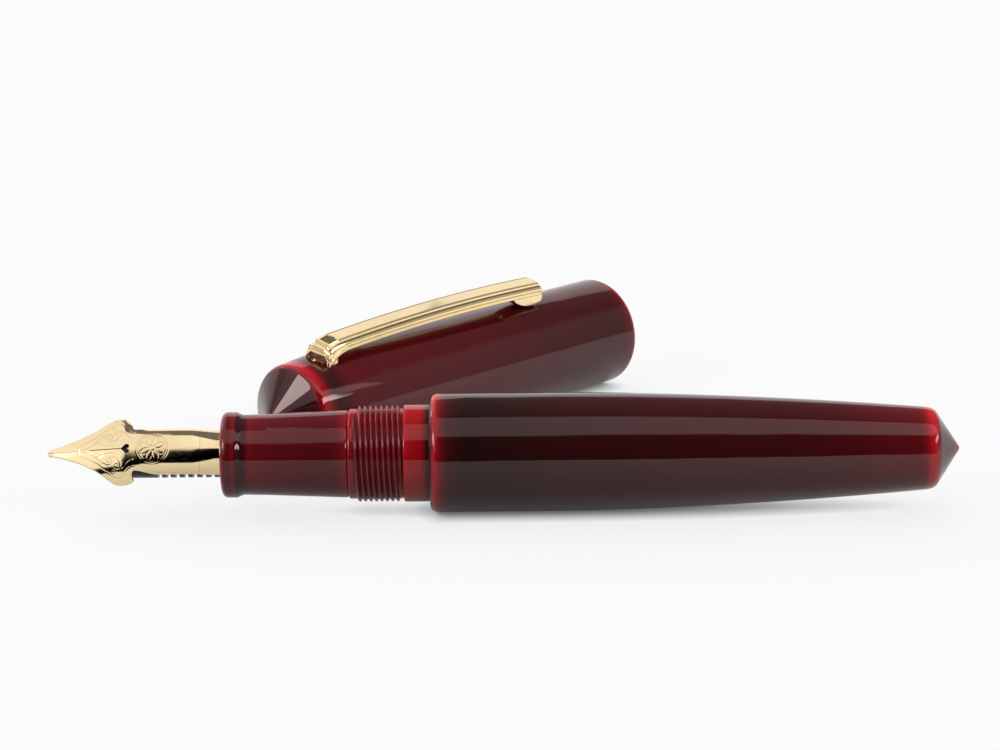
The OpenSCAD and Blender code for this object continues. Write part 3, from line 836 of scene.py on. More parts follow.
# %% Barrel
SECTION, NECK, STEP, TAIL = 22.7, 39.2, 49.8, 115.65
TAIL_R, TAIL_CONE, TAIL_ROUND = 5.27, 3.45, 1.4
THREAD_ROOT, THREAD_CREST, THREAD_LEAD = 5.9, 6.3, 1.42
JOINT_R, BORE_R, BORE_END, COLLAR_R = 4.8, 4.2, 104.55, 6.35
TAPER_START, TAPER_END = STEP + 16.2, TAIL - 1

neck = [(NECK + 0.03, JOINT_R), (NECK + 0.03, 5.7), (NECK + 0.1, 5.82), (NECK + 0.25, THREAD_ROOT)]
collar = [(STEP - 3.5, THREAD_ROOT), (STEP - 3.42, 5.96), (STEP - 3.36, 6.2), (STEP - 3.3, 6.3)]
collar += [(STEP - before, COLLAR_R) for before in (3.2, 0.5, 0.3, 0.15, 0.04)] + [(STEP, 6.39)]
taper = [(TAPER_START + (TAPER_END - TAPER_START) * t,
          barrel_r - (barrel_r - TAIL_R - 0.16) * t ** 1.75) for t in spread(0, 1, 30)]
tail = rounded_corner(TAIL, TAIL_R, TAIL_ROUND, 7, 56.8) + cone_point(TAIL_R, TAIL, TAIL_CONE)
bore = [(BORE_END, 0.0), (BORE_END, BORE_R - 0.2), (BORE_END - 0.2, BORE_R), (NECK + 7.8, BORE_R),
        (NECK + 7.3, JOINT_R), (NECK + 0.03, JOINT_R)]
barrel = turned("barrel_shell", guarded(
    neck + collar + arc(STEP + 1, barrel_r - 1, 1, -90, 0, 14) + taper + tail + bore))

# %% [markdown]
# ## Where the barrel's lacquer is thin
#
# Bright at the step and at the tail's edge, black in the collar's corner, and slowly redder towards
# the tail, where the coats run out.

# %% The barrel's thinness
BARREL_THIN = [(0, .3), (39.2, .75), (39.5, .85), (40, .78), (45.5, .78), (46.3, .8), (46.6, .92),
               (47, .88), (49.1, .88), (49.45, .55), (49.8, 0), (49.95, .6), (50.3, .95),
               (51, .82), (52.1, .35), (54.2, .02), (60, .06), (66, .18), (78, .27), (95, .32),
               (104, .44), (110, .55), (113.1, .6), (113.9, .7), (114.4, .9), (115.2, .97),
               (115.7, .93), (116, .45), (116.6, .25), (117.8, .35), (118.5, .8)]
set_thinness(barrel, BARREL_THIN, 4.9, -1, 110, 0.1)
print("stations:", len(BARREL_THIN))

# %% [markdown]
# ## Threads that really wind
#
# The cap screws on with a two-start thread: two ridges that start on opposite sides and climb
# together, so the cap closes in few turns. One ridge's cross-section is drawn and wound up by the
# Screw modifier, and its ends are sunk into the surface, as the cutter leaves them.

# %% One thread ridge
SUNK = 0.12


def eased(value):
    """0 below 0, 1 above 1, smooth between."""
    value = np.clip(value, 0, 1)
    return value * value * (3 - 2 * value)


def wound(name, start, root, crest, turns, width, steps):
    """One ridge. A crest above the root stands out of a pin, one below it out of a bore's wall."""
    out = 1 if crest > root else -1
    sink = root - out * SUNK
    swell = [i / 14 for i in range(1, 14)]
    section = [(width * t, root + (crest - root) * math.sin(math.pi * t) ** 1.3) for t in swell]
    section = [(0.0, sink), *section, (width, sink)]
    obj = outline(name, [(start + x, r) for x, r in section])
    on_all(bpy.ops.mesh.edge_face_add)
    bpy.ops.mesh.delete(type="ONLY_FACE")
    mode("OBJECT")
    winding = obj.modifiers.new("winding", "SCREW")
    winding.axis = "X"
    winding.angle = 2 * math.pi * turns
    winding.screw_offset = THREAD_LEAD * turns
    winding.steps = winding.render_steps = round(steps * turns)
    only(obj)
    bpy.ops.object.modifier_apply(modifier="winding")
    # The ridge rises out of the surface and sinks back into it over a fifth of a turn
    points = coordinates(obj)
    turn = np.arange(len(points)) // len(section) / (len(points) / len(section) - 1) * turns
    ease = eased(np.minimum(turn, turns - turn) / 0.22)
    radius = off_axis(points)
    points[:, 1:] *= ((sink + (radius - sink) * (0.15 + 0.85 * ease)) / radius)[:, None]
    set_coordinates(obj, points)
    mode("EDIT")
    on_all(bpy.ops.mesh.fill_holes, sides=0)
    return skinned(obj, 32)

# %% [markdown]
# ## The thread on the neck
#
# Two ridges make the two-start thread. The lacquer is thinner on their crests, so they are redder
# there. Then neck, threads and barrel become one object, which takes the plain barrel's place.

# %% Neck thread


def two_starts(name, start, root, crest, turns, width, steps, root_thinness, crest_gain):
    """A ridge and its copy, half a turn on; both are redder at the crest."""
    first = wound(name, start, root, crest, turns, width, steps)
    bpy.ops.object.duplicate()
    second = bpy.context.object
    set_coordinates(second, coordinates(second) * (1, -1, -1))
    for piece in (first, second):
        share = (off_axis(coordinates(piece)) - root) / (crest - root)
        carry(piece, "thinness", root_thinness + crest_gain * np.clip(share, 0, 1))
    return first, second


neck_ridges = two_starts("neck_ridge", STEP - 10.15, THREAD_ROOT, THREAD_CREST, 4.4, 0.72, 72,
                         0.50, 0.28)
barrel = joined(*neck_ridges, barrel)
settle(barrel, pen_frame, lacquer, "barrel", "lacquer", "barrel")

# %% [markdown]
# ## The grip section
#
# The section is the short sleeve that the fingers hold. It has a rolled lip in front, a shallow
# hollow behind the lip, and then it swells gently towards the neck. It is turned in the same way.

# %% Section
SECTION_THIN = [(22.6, .93), (22.9, .82), (23.3, .6), (24, .58), (24.25, .78), (24.5, .74),
                (24.75, .35), (25.1, .22), (25.8, .24), (26.1, .56), (26.4, .72), (27.2, .64),
                (30, .58), (33, .54), (36, .52), (37.6, .54), (38.3, .7), (39.3, .82)]
FEED_BORE, HOUSING_BORE, SLEEVE_BORE = 3.4, 3.83, 4.43

lip = [(SECTION, FEED_BORE), (SECTION, 4.6)] + arc(SECTION + 0.8, 4.8, 0.8, -80, 0)
hollow = [(SECTION + 1.75 + 1.15 * t, 5.24 + 0.36 * (1 + math.cos(math.pi * t)) / 2)
          for t in spread(0, 1, 16)]
grip = [(SECTION + 6, 5.31), (SECTION + 10, 5.48), (NECK - 0.55, 5.72), (NECK - 0.35, 5.735),
        (NECK - 0.18, 5.70), (NECK - 0.05, 5.62), (NECK, 5.5)]
bores = [(NECK, SLEEVE_BORE), (NECK - 6.03, SLEEVE_BORE), (NECK - 6.03, HOUSING_BORE),
         (SECTION + 1.5, HOUSING_BORE), (SECTION + 1.5, FEED_BORE), (SECTION, FEED_BORE)]
grip_section = turned("grip_section", guarded(lip + hollow + grip + bores))
set_thinness(grip_section, SECTION_THIN, 4.5, -1, 100, 0.1)
settle(grip_section, pen_frame, lacquer, "section_unit", "lacquer", "section")

# %% [markdown]
# ## The cap
#
# The cap is a straight tube with a rounded lip, a soft shoulder and a low cone that mirrors the
# barrel's tail. The inner cap that keeps the nib moist comes with the mechanical model. Here the
# stations are millimetres from the mouth.

# %% Cap
CAP_EDGE, CAP_EDGE_R, CAP_CONE, CAP_ROUND = 63.5, 6.95, 4.3, 1.2
SHOULDER = 11.5
MOUTH_R = 6.45
CAP_THIN = [(0, 1), (0.6, .9), (1.4, .6), (3, .42), (6, .36), (12, .42), (25, .5), (40, .56),
            (52, .6), (57.5, .62), (59.5, .42), (60.6, .3), (61.5, .6), (62.2, .86), (63, .93),
            (63.6, .8), (63.9, .45), (64.6, .25), (66, .2), (67.6, .5)]


def cap_radius(d):
    """Radius of the cap's outside at a distance from its mouth."""
    share = np.clip((d - CAP_EDGE + SHOULDER) / SHOULDER, 0, 1)
    return cap_r - (cap_r - CAP_EDGE_R) * share ** 1.3


lip = [(0.4, MOUTH_R), (0.15, 6.55), (0.03, 6.68), (0.0, 6.82)]
lip += arc(1.0, cap_r - 1, 1, -86, 0, 14)
shoulder = [(d, float(cap_radius(d)))
            for d in np.linspace(CAP_EDGE - SHOULDER, CAP_EDGE - 0.75, 20)]
closed_end = rounded_corner(CAP_EDGE, CAP_EDGE_R, CAP_ROUND, 6, 58.3)
closed_end += cone_point(CAP_EDGE_R, CAP_EDGE, CAP_CONE)
bores = [(63.3, 0.0), (63.3, 1.18), (57.55, 1.18), (57.55, 3.2), (54.13, 3.2), (54.13, 5.93),
         (27.2, 5.93), (27.2, 6.1), (10.5, 6.1), (10.5, MOUTH_R), (0.4, MOUTH_R)]
cap = turned("cap_body", guarded(lip + shoulder + closed_end + bores))
set_thinness(cap, CAP_THIN, 6.5, 0.05, 60, 0.15)

# %% [markdown]
# ## The thread in the cap's mouth
#
# Two thin ridges wind up the mouth's wall. They are the counterpart of the ridges on the neck.

# %% Cap thread
mouth_ridges = two_starts("mouth_ridge", 4.0, MOUTH_R, 6.08, 3.6, 0.62, 48, 0.50, 0.0)
cap = joined(*mouth_ridges, cap)
settle(cap, cap_frame, lacquer, "cap", "lacquer", "cap_shell")

# %% [markdown]
# ## The nib
#
# A nib starts as a flat blank of gold. It is cut to its outline, pierced, engraved, and then bent
# over a former: almost flat at the point, tight round the feed at the shank. This model follows the
# same steps. A fine grid becomes the blank, with its rows squeezed to the outline. One number says
# how far a point lies from the nib's tip, and one how far from the slit.

# %% The nib's blank
NIB_END, NIB_SHEET, SLIT = 32.7, 0.3, 0.055
TIP_HALF, TIP_ROUND = 0.30, 0.5
BLADE_END, BLADE_ROWS, SHANK_ROWS, COLUMNS = 22.9, 304, 18, 131
BLANK = [(0, .3), (2, .85), (4.5, 1.8), (6.6, 2.9), (7.9, 4), (8.7, 4.72), (9.1, 4.95), (9.5, 5.05),
         (10, 5.05), (10.5, 4.95), (10.85, 4.7), (11.05, 4.3), (11.15, 3.5), (11.25, 3.05),
         (11.5, 2.93), (11.8, 2.98), (12.4, 3.15), (13.0, 3.5), (13.6, 3.9), (14.1, 4.13),
         (14.6, 4.25), (16, 4.24), (22.7, 4), (NIB_END, 4)]

only()
bpy.ops.mesh.primitive_grid_add(x_subdivisions=BLADE_ROWS + SHANK_ROWS, y_subdivisions=COLUMNS,
                                size=2)
nib = named("nib_engraved")
grid = coordinates(nib)
row = np.rint((grid[:, 0] + 1) / 2 * (BLADE_ROWS + SHANK_ROWS))
column = np.rint((grid[:, 1] + 1) / 2 * COLUMNS) - COLUMNS / 2
from_tip = np.where(row <= BLADE_ROWS, row * BLADE_END / BLADE_ROWS,
                    BLADE_END + (row - BLADE_ROWS) * (NIB_END - BLADE_END) / SHANK_ROWS)
half_width = looked_up(from_tip, BLANK, 0.10)
at_tip = np.clip(1 - ((TIP_ROUND - from_tip) / TIP_ROUND) ** 2, 0.02, 1)
half_width = np.where(from_tip < TIP_ROUND, TIP_HALF * np.sqrt(at_tip) + 0.1 * from_tip, half_width)
share = (np.abs(column) - 0.5) / (COLUMNS / 2 - 0.5)
slit = np.minimum(SLIT, half_width * 0.2)
from_slit = np.sign(column) * (slit + share * (half_width - slit))
print("blank:", len(grid), "points, %.1f mm wide" % (2 * half_width.max()))

# %% [markdown]
# ## The breather hole and the slit
#
# The slit ends in a heart-shaped hole, whose point meets it and whose lobes look to the shank. The
# grid's nearest points snap onto the heart's line, so its edge will be smooth.

# %% The heart's line
HEART_AT, HEART_WIDE, HEART_LONG, SNAP = 9.66, 0.039, 0.042, 0.045

angle = np.radians(np.arange(0, 360, 3))
heart_x = HEART_AT + HEART_LONG * (17 + 13 * np.cos(angle) - 5 * np.cos(2 * angle)
                                   - 2 * np.cos(3 * angle) - np.cos(4 * angle))
heart_y = HEART_WIDE * 16 * np.sin(angle) ** 3
near = np.flatnonzero((np.abs(from_tip - 10.25) < 0.9) & (np.abs(from_slit) < 0.9))
distances = np.hypot(from_tip[near, None] - heart_x, from_slit[near, None] - heart_y)
nearest = np.argmin(distances, axis=1)
snap = distances[np.arange(len(near)), nearest] < SNAP
from_tip[near[snap]] = heart_x[nearest[snap]]
from_slit[near[snap]] = heart_y[nearest[snap]]
set_coordinates(nib, np.column_stack([from_tip, from_slit, np.zeros(len(from_tip))]))
print("points on the heart's line:", int(snap.sum()))

# %% [markdown]
# ## Piercing the blank
#
# The faces inside the heart and along the slit are deleted. A point is inside when a line from it
# crosses the edge an odd number of times. Solidify then gives the sheet its thickness.

# %% Heart, slit and thickness


def in_heart(x, y):
    """Whether each point of the blank lies inside the heart."""
    inside = np.zeros(len(x), bool)
    corners = list(zip(heart_x, heart_y))
    for (xa, ya), (xb, yb) in zip(corners, corners[1:] + corners[:1]):
        crossing = (ya > y) != (yb > y)
        with np.errstate(divide="ignore", invalid="ignore"):
            inside ^= crossing & (x < xa + (y - ya) / (yb - ya) * (xb - xa))
    return inside


centres = np.empty(len(nib.data.polygons) * 3)
nib.data.polygons.foreach_get("center", centres)
x, y, _ = centres.reshape(-1, 3).T
gone = in_heart(x, y) | ((np.abs(y) < 0.005) & (x < 10.0))
only(nib)
mode("EDIT")
bpy.ops.mesh.select_mode(type="FACE")
bpy.ops.mesh.select_all(action="DESELECT")
mode("OBJECT")
nib.data.polygons.foreach_set("select", gone)
mode("EDIT")
bpy.ops.mesh.delete(type="FACE")
bpy.ops.mesh.select_mode(type="VERT")
mode("OBJECT")
flat = coordinates(nib)[:, :2]
sheet_maker = nib.modifiers.new("sheet", "SOLIDIFY")
sheet_maker.thickness = NIB_SHEET
sheet_maker.offset = -1
bpy.ops.object.modifier_apply(modifier="sheet")
print("sheet:", len(flat), "points on top, holes:", int(gone.sum()), "faces")

# %% [markdown]
# ## The ornament
#
# A graver cuts long, springy lines. Two kinds are enough: a scroll that winds into its eye, and a
# soft line through a few points.

# %% Helpers for engraved lines


def scroll(x, y, start_radius, end_radius, start, end, steps=36):
    """A spiral round (x, y), from one radius and angle to another."""
    turn = [math.radians(a) for a in spread(start, end, steps)]
    return [(x + r * math.cos(a), y + r * math.sin(a))
            for r, a in zip(spread(start_radius, end_radius, steps), turn)]


def soft_line(points, steps=8):
    """A smooth curve through the points."""
    out = []
    points = [points[0], *points, points[-1]]
    for four in zip(points, points[1:], points[2:], points[3:]):
        for t in spread(0, 1, steps)[:-1]:
            out.append(tuple(0.5 * (2 * q + (r - p) * t + (2 * p - 5 * q + 4 * r - w) * t * t
                                    + (3 * q - p - 3 * r + w) * t ** 3)
                             for p, q, r, w in zip(*four)))
    return out + [points[-1]]

# %% [markdown]
# ## The ornament's lines
#
# The engraving is drawn on the flat blank, on one half only, and mirrored: a border that keeps its
# distance from the edge, two scrolls with eyes, a band across the shank. A ring with an
# eight-petalled flower stands behind the breather hole.

# %% Ornament lines
ROSETTE_AT, PETALS = 13.85, 8

border = [(4.15, 0.52)]
border += [(x, float(looked_up(x, BLANK)) - 1.12) for x in np.arange(4.9, 8.9, 0.3)]
border += [(9.3, 3.86), (9.75, 3.74), (10.2, 3.30), (10.6, 2.72), (11.1, 2.38), (11.5, 2.33)]
half_lines = [
    soft_line(border, 4),
    [(4.15, 0.0), (4.15, 0.52)],
    soft_line([(4.7, 0.22), (5.5, 0.36), (6.2, 0.80), (6.75, 1.02), (7.2, 0.86), (7.6, 0.62),
               (8.2, 0.56), (8.9, 0.44)]),
    soft_line([(6.2, 0.80), (6.8, 1.28), (7.3, 1.72), (7.85, 2.04)])
    + scroll(8.22, 1.62, 0.55, 0.14, 130, -300),
    soft_line([(8.22, 1.07), (8.9, 1.06), (9.4, 1.38), (9.75, 1.95)])
    + scroll(9.28, 2.22, 0.52, 0.13, -25, 380),
    scroll(8.75, 3.02, 0.2, 0.2, 0, 360, 16),
    soft_line([(9.8, 2.6), (10.2, 2.3), (10.55, 1.8), (10.95, 1.5), (11.35, 1.42)]),
    soft_line([(14.3, 3.62), (16, 3.58), (18, 3.48), (19.95, 3.36)], 3) + [(20.0, 0.0)],
]
rosette = [scroll(ROSETTE_AT, 0, r, r, 0, 360, steps)
           for r, steps in ((2.08, 60), (1.82, 60), (0.36, 20))]
petal_r = 0.5 + 1.12 * np.cos(np.linspace(-1, 1, 11) * math.pi / 2) ** 0.6
for petal in range(PETALS):
    angles = np.radians((petal + 0.5) * 360 / PETALS + np.linspace(-22.5, 22.5, 11))
    rosette.append([(ROSETTE_AT + r * math.cos(a), r * math.sin(a))
                    for a, r in zip(angles, petal_r)])
lines = half_lines + [[(x, -y) for x, y in line] for line in half_lines] + rosette
print("ornament:", len(lines), "lines")

# %% [markdown]
# ## Pressing the ornament in
#
# Each point near a line sinks by a bell curve of its distance, which gives the soft groove that a
# graver leaves. The blank's edges are eased a little too, so that they don't look stamped.

# %% Engraving
LINE_HALF, CUT_DEPTH = 0.062, 0.015
EASE_DEPTH, EASE_WIDTH = 0.06, 0.13

groove_and_shade = np.zeros(len(flat))
for line in lines:
    line = np.array(line)
    low, high = line.min(axis=0) - 0.25, line.max(axis=0) + 0.25
    close = np.flatnonzero(np.all((flat > low) & (flat < high), axis=1))
    best = np.full(len(close), 9.0)
    for a, b in zip(line, line[1:]):
        along = b - a
        t = np.clip((flat[close] - a) @ along / max(along @ along, 1e-9), 0, 1)
        best = np.minimum(best, np.hypot(*(flat[close] - a - t[:, None] * along).T))
    groove_and_shade[close] = np.maximum(groove_and_shade[close], np.exp(-(best / LINE_HALF) ** 2))

blank = coordinates(nib)
to_edge = looked_up(flat[:, 0], BLANK, 0.10) - np.abs(flat[:, 1])
depth = np.full(len(blank), NIB_SHEET)
depth[:len(flat)] = CUT_DEPTH * groove_and_shade + EASE_DEPTH * np.clip(1 - to_edge / EASE_WIDTH, 0, 1) ** 2
# The same bell curve is carried to the gold, where it paints shade into the grooves.
carry(nib, "groove_and_shade", np.concatenate([groove_and_shade, np.zeros(len(blank) - len(flat))]))
print("engraved points:", int((groove_and_shade > 0.1).sum()))

# %% [markdown]
# ## Bending the sheet
#
# Real sheet bends without stretching, so a point keeps its distance from the middle line, measured
# along the bend. For the blade, the shank and the seat inside the section, a list of zones says
# how tightly the sheet is bent out to each width. Adding up the curvature gives the sheet's angle,
# and adding up the angle's cosine and sine gives its reach and its fall.

# %% The nib's bend
BEND_STEP = 0.02
across = np.linspace(0, 5.2, 261)
BENDS = {"blade": [(2.8, 7.6), (5.2, 4.4)], "shank": [(1.0, 12.9), (1.93, 2.9), (5.2, 1.85)],
         "seat": [(5.2, 3.26)]}
BEND_AT = [0, 10.2, 13.2, 19.0, 22.0, NIB_END]
BEND_SHARE = {"blade": [1, 1, 0, 0, 0, 0], "shank": [0, 0, 1, 1, 0, 0], "seat": [0, 0, 0, 0, 1, 1]}
BLADE_FLATTER = [(0, 0.58), (9, 1), (10.2, 1)]
MIDDLE_HEIGHT = [(0, 1.35), (9.5, 3.35), (13.4, 3.45), (17, 3.5), (22.2, 3.26), (NIB_END, 3.26)]


def halfway(values):
    """The values halfway between neighbours in each row."""
    return (values[:, 1:] + values[:, :-1]) / 2


def summed(values):
    """Running sums along each row, from 0, over steps of the bend."""
    return np.concatenate([np.zeros((len(values), 1)), np.cumsum(values, 1)], 1) * BEND_STEP


curvatures = [[1 / next(radius for width, radius in zones if at <= width) for at in across]
              for zones in BENDS.values()]
turns = summed(halfway(np.array(curvatures)))
weights = np.array([np.interp(blank[:, 0], BEND_AT, share) for share in BEND_SHARE.values()])
weights[0] *= looked_up(blank[:, 0], BLADE_FLATTER)
middle = looked_up(blank[:, 0], MIDDLE_HEIGHT, 0.8)
bent = np.empty_like(blank)
for group in np.array_split(np.argsort(blank[:, 0]), len(blank) // 64):
    angles = np.tensordot(weights[:, group], turns, (0, 0))
    reaches, falls = summed(np.cos(halfway(angles))), summed(np.sin(halfway(angles)))
    for vertex, *curves in zip(group, angles, reaches, falls):
        x, y, _ = blank[vertex]
        angle, reach, fall = (np.interp(abs(y), across, curve) for curve in curves)
        bent[vertex] = (x, math.copysign(reach - depth[vertex] * math.sin(angle), y),
                        middle[vertex] - fall - depth[vertex] * math.cos(angle))
print("bent:", len(bent), "points")

# %% [markdown]
# ## The nib in its place
#
# The tips of the nib's shoulders hook a little along it. The finished nib is rolled round the
# pen's axis, because a pen that lies down rests on its barrel and its nib looks sideways.

# %% Nib
NIB_ROLL = math.radians(57)
TIP_FROM, TIP_AT = 3.4, 11.0
HOOK_NEAR, HOOK_FAR = 0.5, -0.1

tips = np.clip((np.abs(blank[:, 1]) - TIP_FROM) / 1.2, 0, 1) ** 2
tips *= np.exp(-((blank[:, 0] - TIP_AT) / 0.7) ** 2)
bent[:, 0] += np.where(blank[:, 1] < 0, HOOK_NEAR, HOOK_FAR) * tips
set_coordinates(nib, bent)
only(nib)
skinned(nib, 38)
nib_frame = pen_frame @ Matrix.Rotation(NIB_ROLL, 4, "X")
settle(nib, nib_frame, nib_gold, "section_unit", "gold", "nib")

# %% [markdown]
# ## The feed
#
# Under the nib sits the black feed, which carries ink by capillary fins. It is turned like a screw
# with straight grooves, and its nose is drawn up under the nib by sliding the rings sideways.

# %% Feed
FEED_R, FEED_END, FIN_FLOOR = 2.92, 34.2, 1.9
FIN_COUNT, FIN_PITCH, FIN_GAP = 8, 1.145, 0.49
NOSE_START, NOSE_LONG, NOSE_R, NOSE_RISE = 5.65, 5.15, 0.45, 1.7

first_gap = SECTION + 0.15 - FIN_GAP - (FIN_COUNT - 1) * FIN_PITCH
fins = []
for start in (first_gap + i * FIN_PITCH for i in range(FIN_COUNT)):
    fins += [(start - 0.03, FEED_R), (start, FEED_R - 0.03), (start, FIN_FLOOR),
             (start + FIN_GAP, FIN_FLOOR), (start + FIN_GAP, FEED_R - 0.03),
             (start + FIN_GAP + 0.03, FEED_R)]
nose = [(NOSE_START - 0.05, 0.0), (NOSE_START - 0.05, NOSE_R - 0.05), (NOSE_START, NOSE_R)]
nose += [(NOSE_START + NOSE_LONG * t, NOSE_R + (FEED_R - NOSE_R) * (1 - (1 - t) ** 1.55))
         for t in spread(0, 1, 16)[1:]]
feed = turned("feed_finned", nose + fins + [(SECTION + 0.2, FEED_R), (FEED_END, FEED_R),
                                            (FEED_END, 0.0)], 96)
points = coordinates(feed)
points[:, 2] += NOSE_RISE * np.clip(1 - (points[:, 0] - NOSE_START) / NOSE_LONG, 0, 1) ** 1.55
set_coordinates(feed, points)
settle(feed, nib_frame, ebonite, "section_unit", "ebonite", "feed")

# %% [markdown]
# ## The clip
#
# The clip is one springy strip of gold-plated metal. A moulding runs all round it: a flat top, a
# small bead, a hollow cove and a thin flange. Such a moulding is easiest to make as loops: one
# closed line round the clip's plan for each point of the moulding's section, each a little further
# out and lower. The loops are the rows of a grid, whose two long edges are merged.

# %% A skin over rings of points


def wrapped(name, rings, close_ends=False):
    """A closed skin over rings of points, all with the same count."""
    rings = np.asarray(rings, float)
    ring_count, around = rings.shape[:2]
    only()
    bpy.ops.mesh.primitive_grid_add(x_subdivisions=around, y_subdivisions=ring_count - 1, size=2)
    obj = named(name)
    grid = coordinates(obj)
    column = np.rint((grid[:, 0] + 1) / 2 * around).astype(int) % around
    row = np.rint((grid[:, 1] + 1) / 2 * (ring_count - 1)).astype(int)
    set_coordinates(obj, rings[row, column])
    mode("EDIT")
    on_all(bpy.ops.mesh.remove_doubles, threshold=0.0005)
    if close_ends:
        on_all(bpy.ops.mesh.fill_holes, sides=0)
    on_all(bpy.ops.mesh.dissolve_degenerate, threshold=0.0001)
    print(name, ring_count, "rings of", around)
    return skinned(obj, 40)

# %% [markdown]
# ## The clip's plan
#
# Seen from above, the clip is a long bar with a rounded free end and a square foot. Each loop
# follows that plan at its own inset. Stations are again millimetres from the cap's mouth.

# %% Clip plan
ARM_END, FOOT_END, CLIP_HALF, CLIP_THICK = 16.2, 59.7, 2.05, 1.6


def clip_top(d):
    """Height of the clip's top above the cap's axis: a slow arch that falls to the foot."""
    t = (d - ARM_END) / (FOOT_END - ARM_END)
    return cap_r + 3.4 - 1.2 * t + 3.0 * t * (1 - t)


def cap_surface(d, y):
    """Height of the cap's outside above its axis, a hair outwards."""
    return np.sqrt((cap_radius(d) + 0.04) ** 2 - np.minimum(np.abs(y), 5) ** 2)


def plan_loop(inset):
    """Points (d, y, end) round the plan; end says how much a point is on the foot's end line."""
    half = CLIP_HALF - inset
    end_r = min(max(1.0 - inset, 0.03), max(half, 0))
    foot_r = min(max(0.22 - inset, 0.02), max(half, 0))
    start, stop = ARM_END + inset, FOOT_END - inset
    side_from, side_to = start + end_r, stop - foot_r
    points = [(start, y, 0.0) for y in np.linspace(0, max(half - end_r, 0), 5)[:-1]]
    for a in np.radians(np.linspace(0, 90, 11)):
        points.append((start + end_r * (1 - math.cos(a)), half - end_r + end_r * math.sin(a), 0.0))
    stretch = np.concatenate([np.linspace(0, 0.8, 48), np.linspace(0.8, 1, 42)[1:]])
    points += [(side_from + (side_to - side_from) * t, half, 0.0) for t in stretch[1:]]
    for end in np.linspace(0, 1, 6)[1:]:
        a = math.radians(90 * end)
        points.append((side_to + foot_r * math.sin(a), half - foot_r * (1 - math.cos(a)), end))
    points += [(stop, y, 1.0) for y in np.linspace(half - foot_r, 0, 20)[1:-1]]
    mirrored = [(d, -y, end) for d, y, end in points[::-1]][:-1]
    return np.array(points + [(stop, 0.0, 1.0)] + mirrored)


print("points in a loop:", len(plan_loop(0)))

# %% [markdown]
# ## The clip's moulding
#
# At its foot the strip turns down and spreads like a saddle on the cap: the top bows, the flange
# sweeps out to the cap's surface, and the last loops are laid on it. Each loop is given by its
# inset and by its depth below the top.

# %% One loop of the moulding


def clip_loop(inset, depth, tuck=0.0, seated=False):
    """One loop of the moulding. Tuck draws the foot's end in; seated lays the foot on the cap."""
    d, y, end = plan_loop(inset).T
    to_foot = FOOT_END - d
    share = depth / CLIP_THICK
    turn_down = 0.30 * np.clip((2.8 - np.maximum(to_foot, 0.9)) / 1.9, 0, 1) ** 1.6
    q = np.clip((4.4 - to_foot) / 3.4, 0, 1)
    sweep = 0.5 * q ** 2 + 0.5 * (1 - np.sqrt(1 - q ** 2))
    outer_y = CLIP_HALF * y / max(CLIP_HALF - inset, 1e-6) if inset < CLIP_HALF - 0.01 else y * 0
    corner = eased(1 - (CLIP_HALF - np.abs(outer_y)) / 1.3)
    flare = np.clip((3.2 - to_foot) / 3.2, 0, 1) ** 2 * (0.14 + 0.28 * share ** 1.5)
    y = y * (1 + flare / CLIP_HALF)
    top = clip_top(d)
    landing = top - CLIP_THICK - cap_surface(d, y)
    drop = np.where(end > 0, np.maximum(corner * landing, 0.30), sweep * landing)
    z = top - depth - turn_down * (1 - share) - drop * share
    if inset < 1:
        d = d - tuck * end * (1 - corner)
    if seated:
        z = np.where(end > 0, np.maximum(cap_surface(d, y), z - 9), z)
    return np.column_stack([d, y, z])

# %% [markdown]
# ## Laying the loops
#
# From the middle of the flat top, over the bead, into the cove and out to the flange, then under
# the clip and back to its middle.

# %% Clip moulding
moulding = [(2.05, 0.0), (1.5, 0.0), (1.05, 0.0), (1.02, 0.0), (0.99, 0.015), (0.96, 0.055),
            (0.92, 0.062), (0.89, 0.045), (0.865, 0.02), (0.83, 0.01), (0.78, 0.012),
            (0.735, 0.03), (0.70, 0.065), (0.68, 0.12), (0.67, 0.20), (0.665, 0.30), (0.655, 0.335)]
moulding += [(0.63 - 0.53 * math.sin(a), 0.345 + 0.60 * (1 - math.cos(a)))
             for a in np.radians(range(6, 87, 8))]
moulding += [(0.105, 0.98), (0.13, 1.03), (0.16, 1.06), (0.15, 1.085), (0.11, 1.10), (0.05, 1.115),
             (0.015, 1.13), (0.0, 1.17), (0.0, 1.3), (0.0, 1.5), (0.01, 1.56), (0.04, 1.6)]
loops = [clip_loop(inset, depth) for inset, depth in moulding]
loops += [clip_loop(0.12, CLIP_THICK), clip_loop(0.16, CLIP_THICK, tuck=0.32),
          clip_loop(0.20, CLIP_THICK, tuck=0.34, seated=True)]
for inset in (0.5, 1.0, 1.5, 2.05):
    loop = clip_loop(inset, CLIP_THICK, tuck=0.2, seated=True)
    d, y, z = loop.T
    loop[:, 2] = np.where(d > FOOT_END - 1.2, np.maximum(z, cap_surface(d, y)), np.maximum(z, 0))
    loops.append(loop)
clip = wrapped("clip_moulding", loops)

# %% [markdown]
# ## The clip's pad
#
# Under its free end the clip carries a pad that presses on the cap. Its underside is crowned, so it
# touches on a small spot and lets cloth slide in. Its side view is drawn once and repeated across
# its width, with rounded edges.

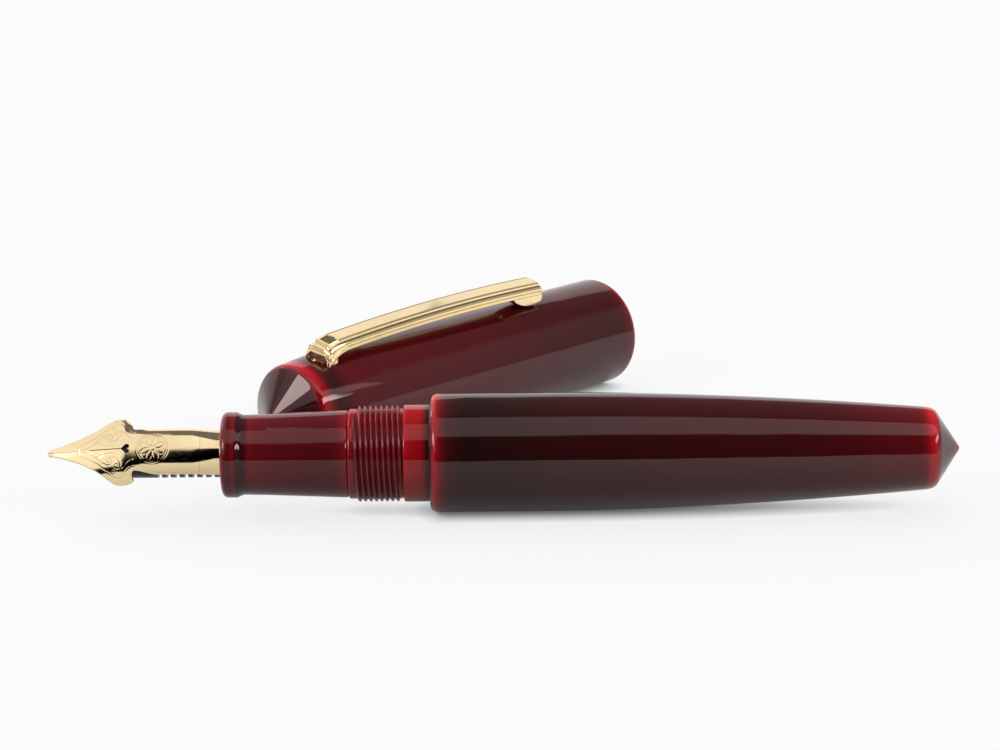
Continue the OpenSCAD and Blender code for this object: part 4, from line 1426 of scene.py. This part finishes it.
# %% Pad
PAD_FLAT, PAD_EDGE, PAD_CROWN = 1.62, 0.16, 0.24
PAD_HALVES = [0, 0.6, 1.2, 1.5, 1.66, 1.74, 1.775, 1.78]
pad_side = [(22.9, 10.15), (22.6, 9.62), (22.1, 9.18), (21.4, 8.78), (20.6, 8.42), (19.75, 8.20),
            (18.8, 8.11), (17.8, 8.14), (17.0, 8.26), (16.62, 8.38), (16.44, 8.52), (16.36, 8.76),
            (16.34, 9.2), (16.36, 9.6), (16.6, 10.1), (18.0, 10.2), (20.5, 10.25)]
pad_rings = []
for y in [-half for half in PAD_HALVES[:0:-1]] + PAD_HALVES:
    past_flat = max(0.0, (abs(y) - PAD_FLAT) / PAD_EDGE)
    shrink = PAD_EDGE * (1 - math.sqrt(max(0.0, 1 - past_flat ** 2)))
    crown = PAD_CROWN * (1 - min(abs(y) / 1.7, 1) ** 2)
    ring = []
    for d, z in pad_side:
        low = max(0.0, min(1.0, (9.6 - z) / 1.3))
        inwards = (shrink if d < 19 else -shrink) if z < 10 else 0
        ring.append((d + inwards, y, z + (shrink - crown) * low))
    pad_rings.append(ring)
pad = wrapped("clip_pad", pad_rings, close_ends=True)

# %% [markdown]
# ## The clip's tang
#
# The tang at the foot goes through the cap's wall, and its eye takes the screw that is driven from
# inside. It is a flat plate with a round lower end, a square upper end and a hole.

# %% Tang
TANG_AT, TANG_THICK_HALF, TANG_HALF, TANG_TOP, EYE_R = FOOT_END - 1.7, 0.4, 2.1, 8.4, 1.2

tang_rings = []
for side, eye in ((-1, True), (-1, False), (1, False), (1, True), (-1, True)):
    ring = []
    for a in range(0, 360, 6):
        c, s = math.cos(math.radians(a)), math.sin(math.radians(a))
        reach = min(TANG_HALF / max(abs(c), 1e-6), TANG_TOP / s) if s > 0 else TANG_HALF
        reach = EYE_R if eye else reach
        ring.append((TANG_AT + side * TANG_THICK_HALF, c * reach, s * reach))
    tang_rings.append(ring)
tang = wrapped("clip_tang", tang_rings)
clip = joined(pad, tang, clip)
settle(clip, cap_frame, clip_gold, None, "gold", "clip_arm", "clip_foot")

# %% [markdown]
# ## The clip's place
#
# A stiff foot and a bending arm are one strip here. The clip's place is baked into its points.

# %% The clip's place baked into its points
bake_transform(clip)
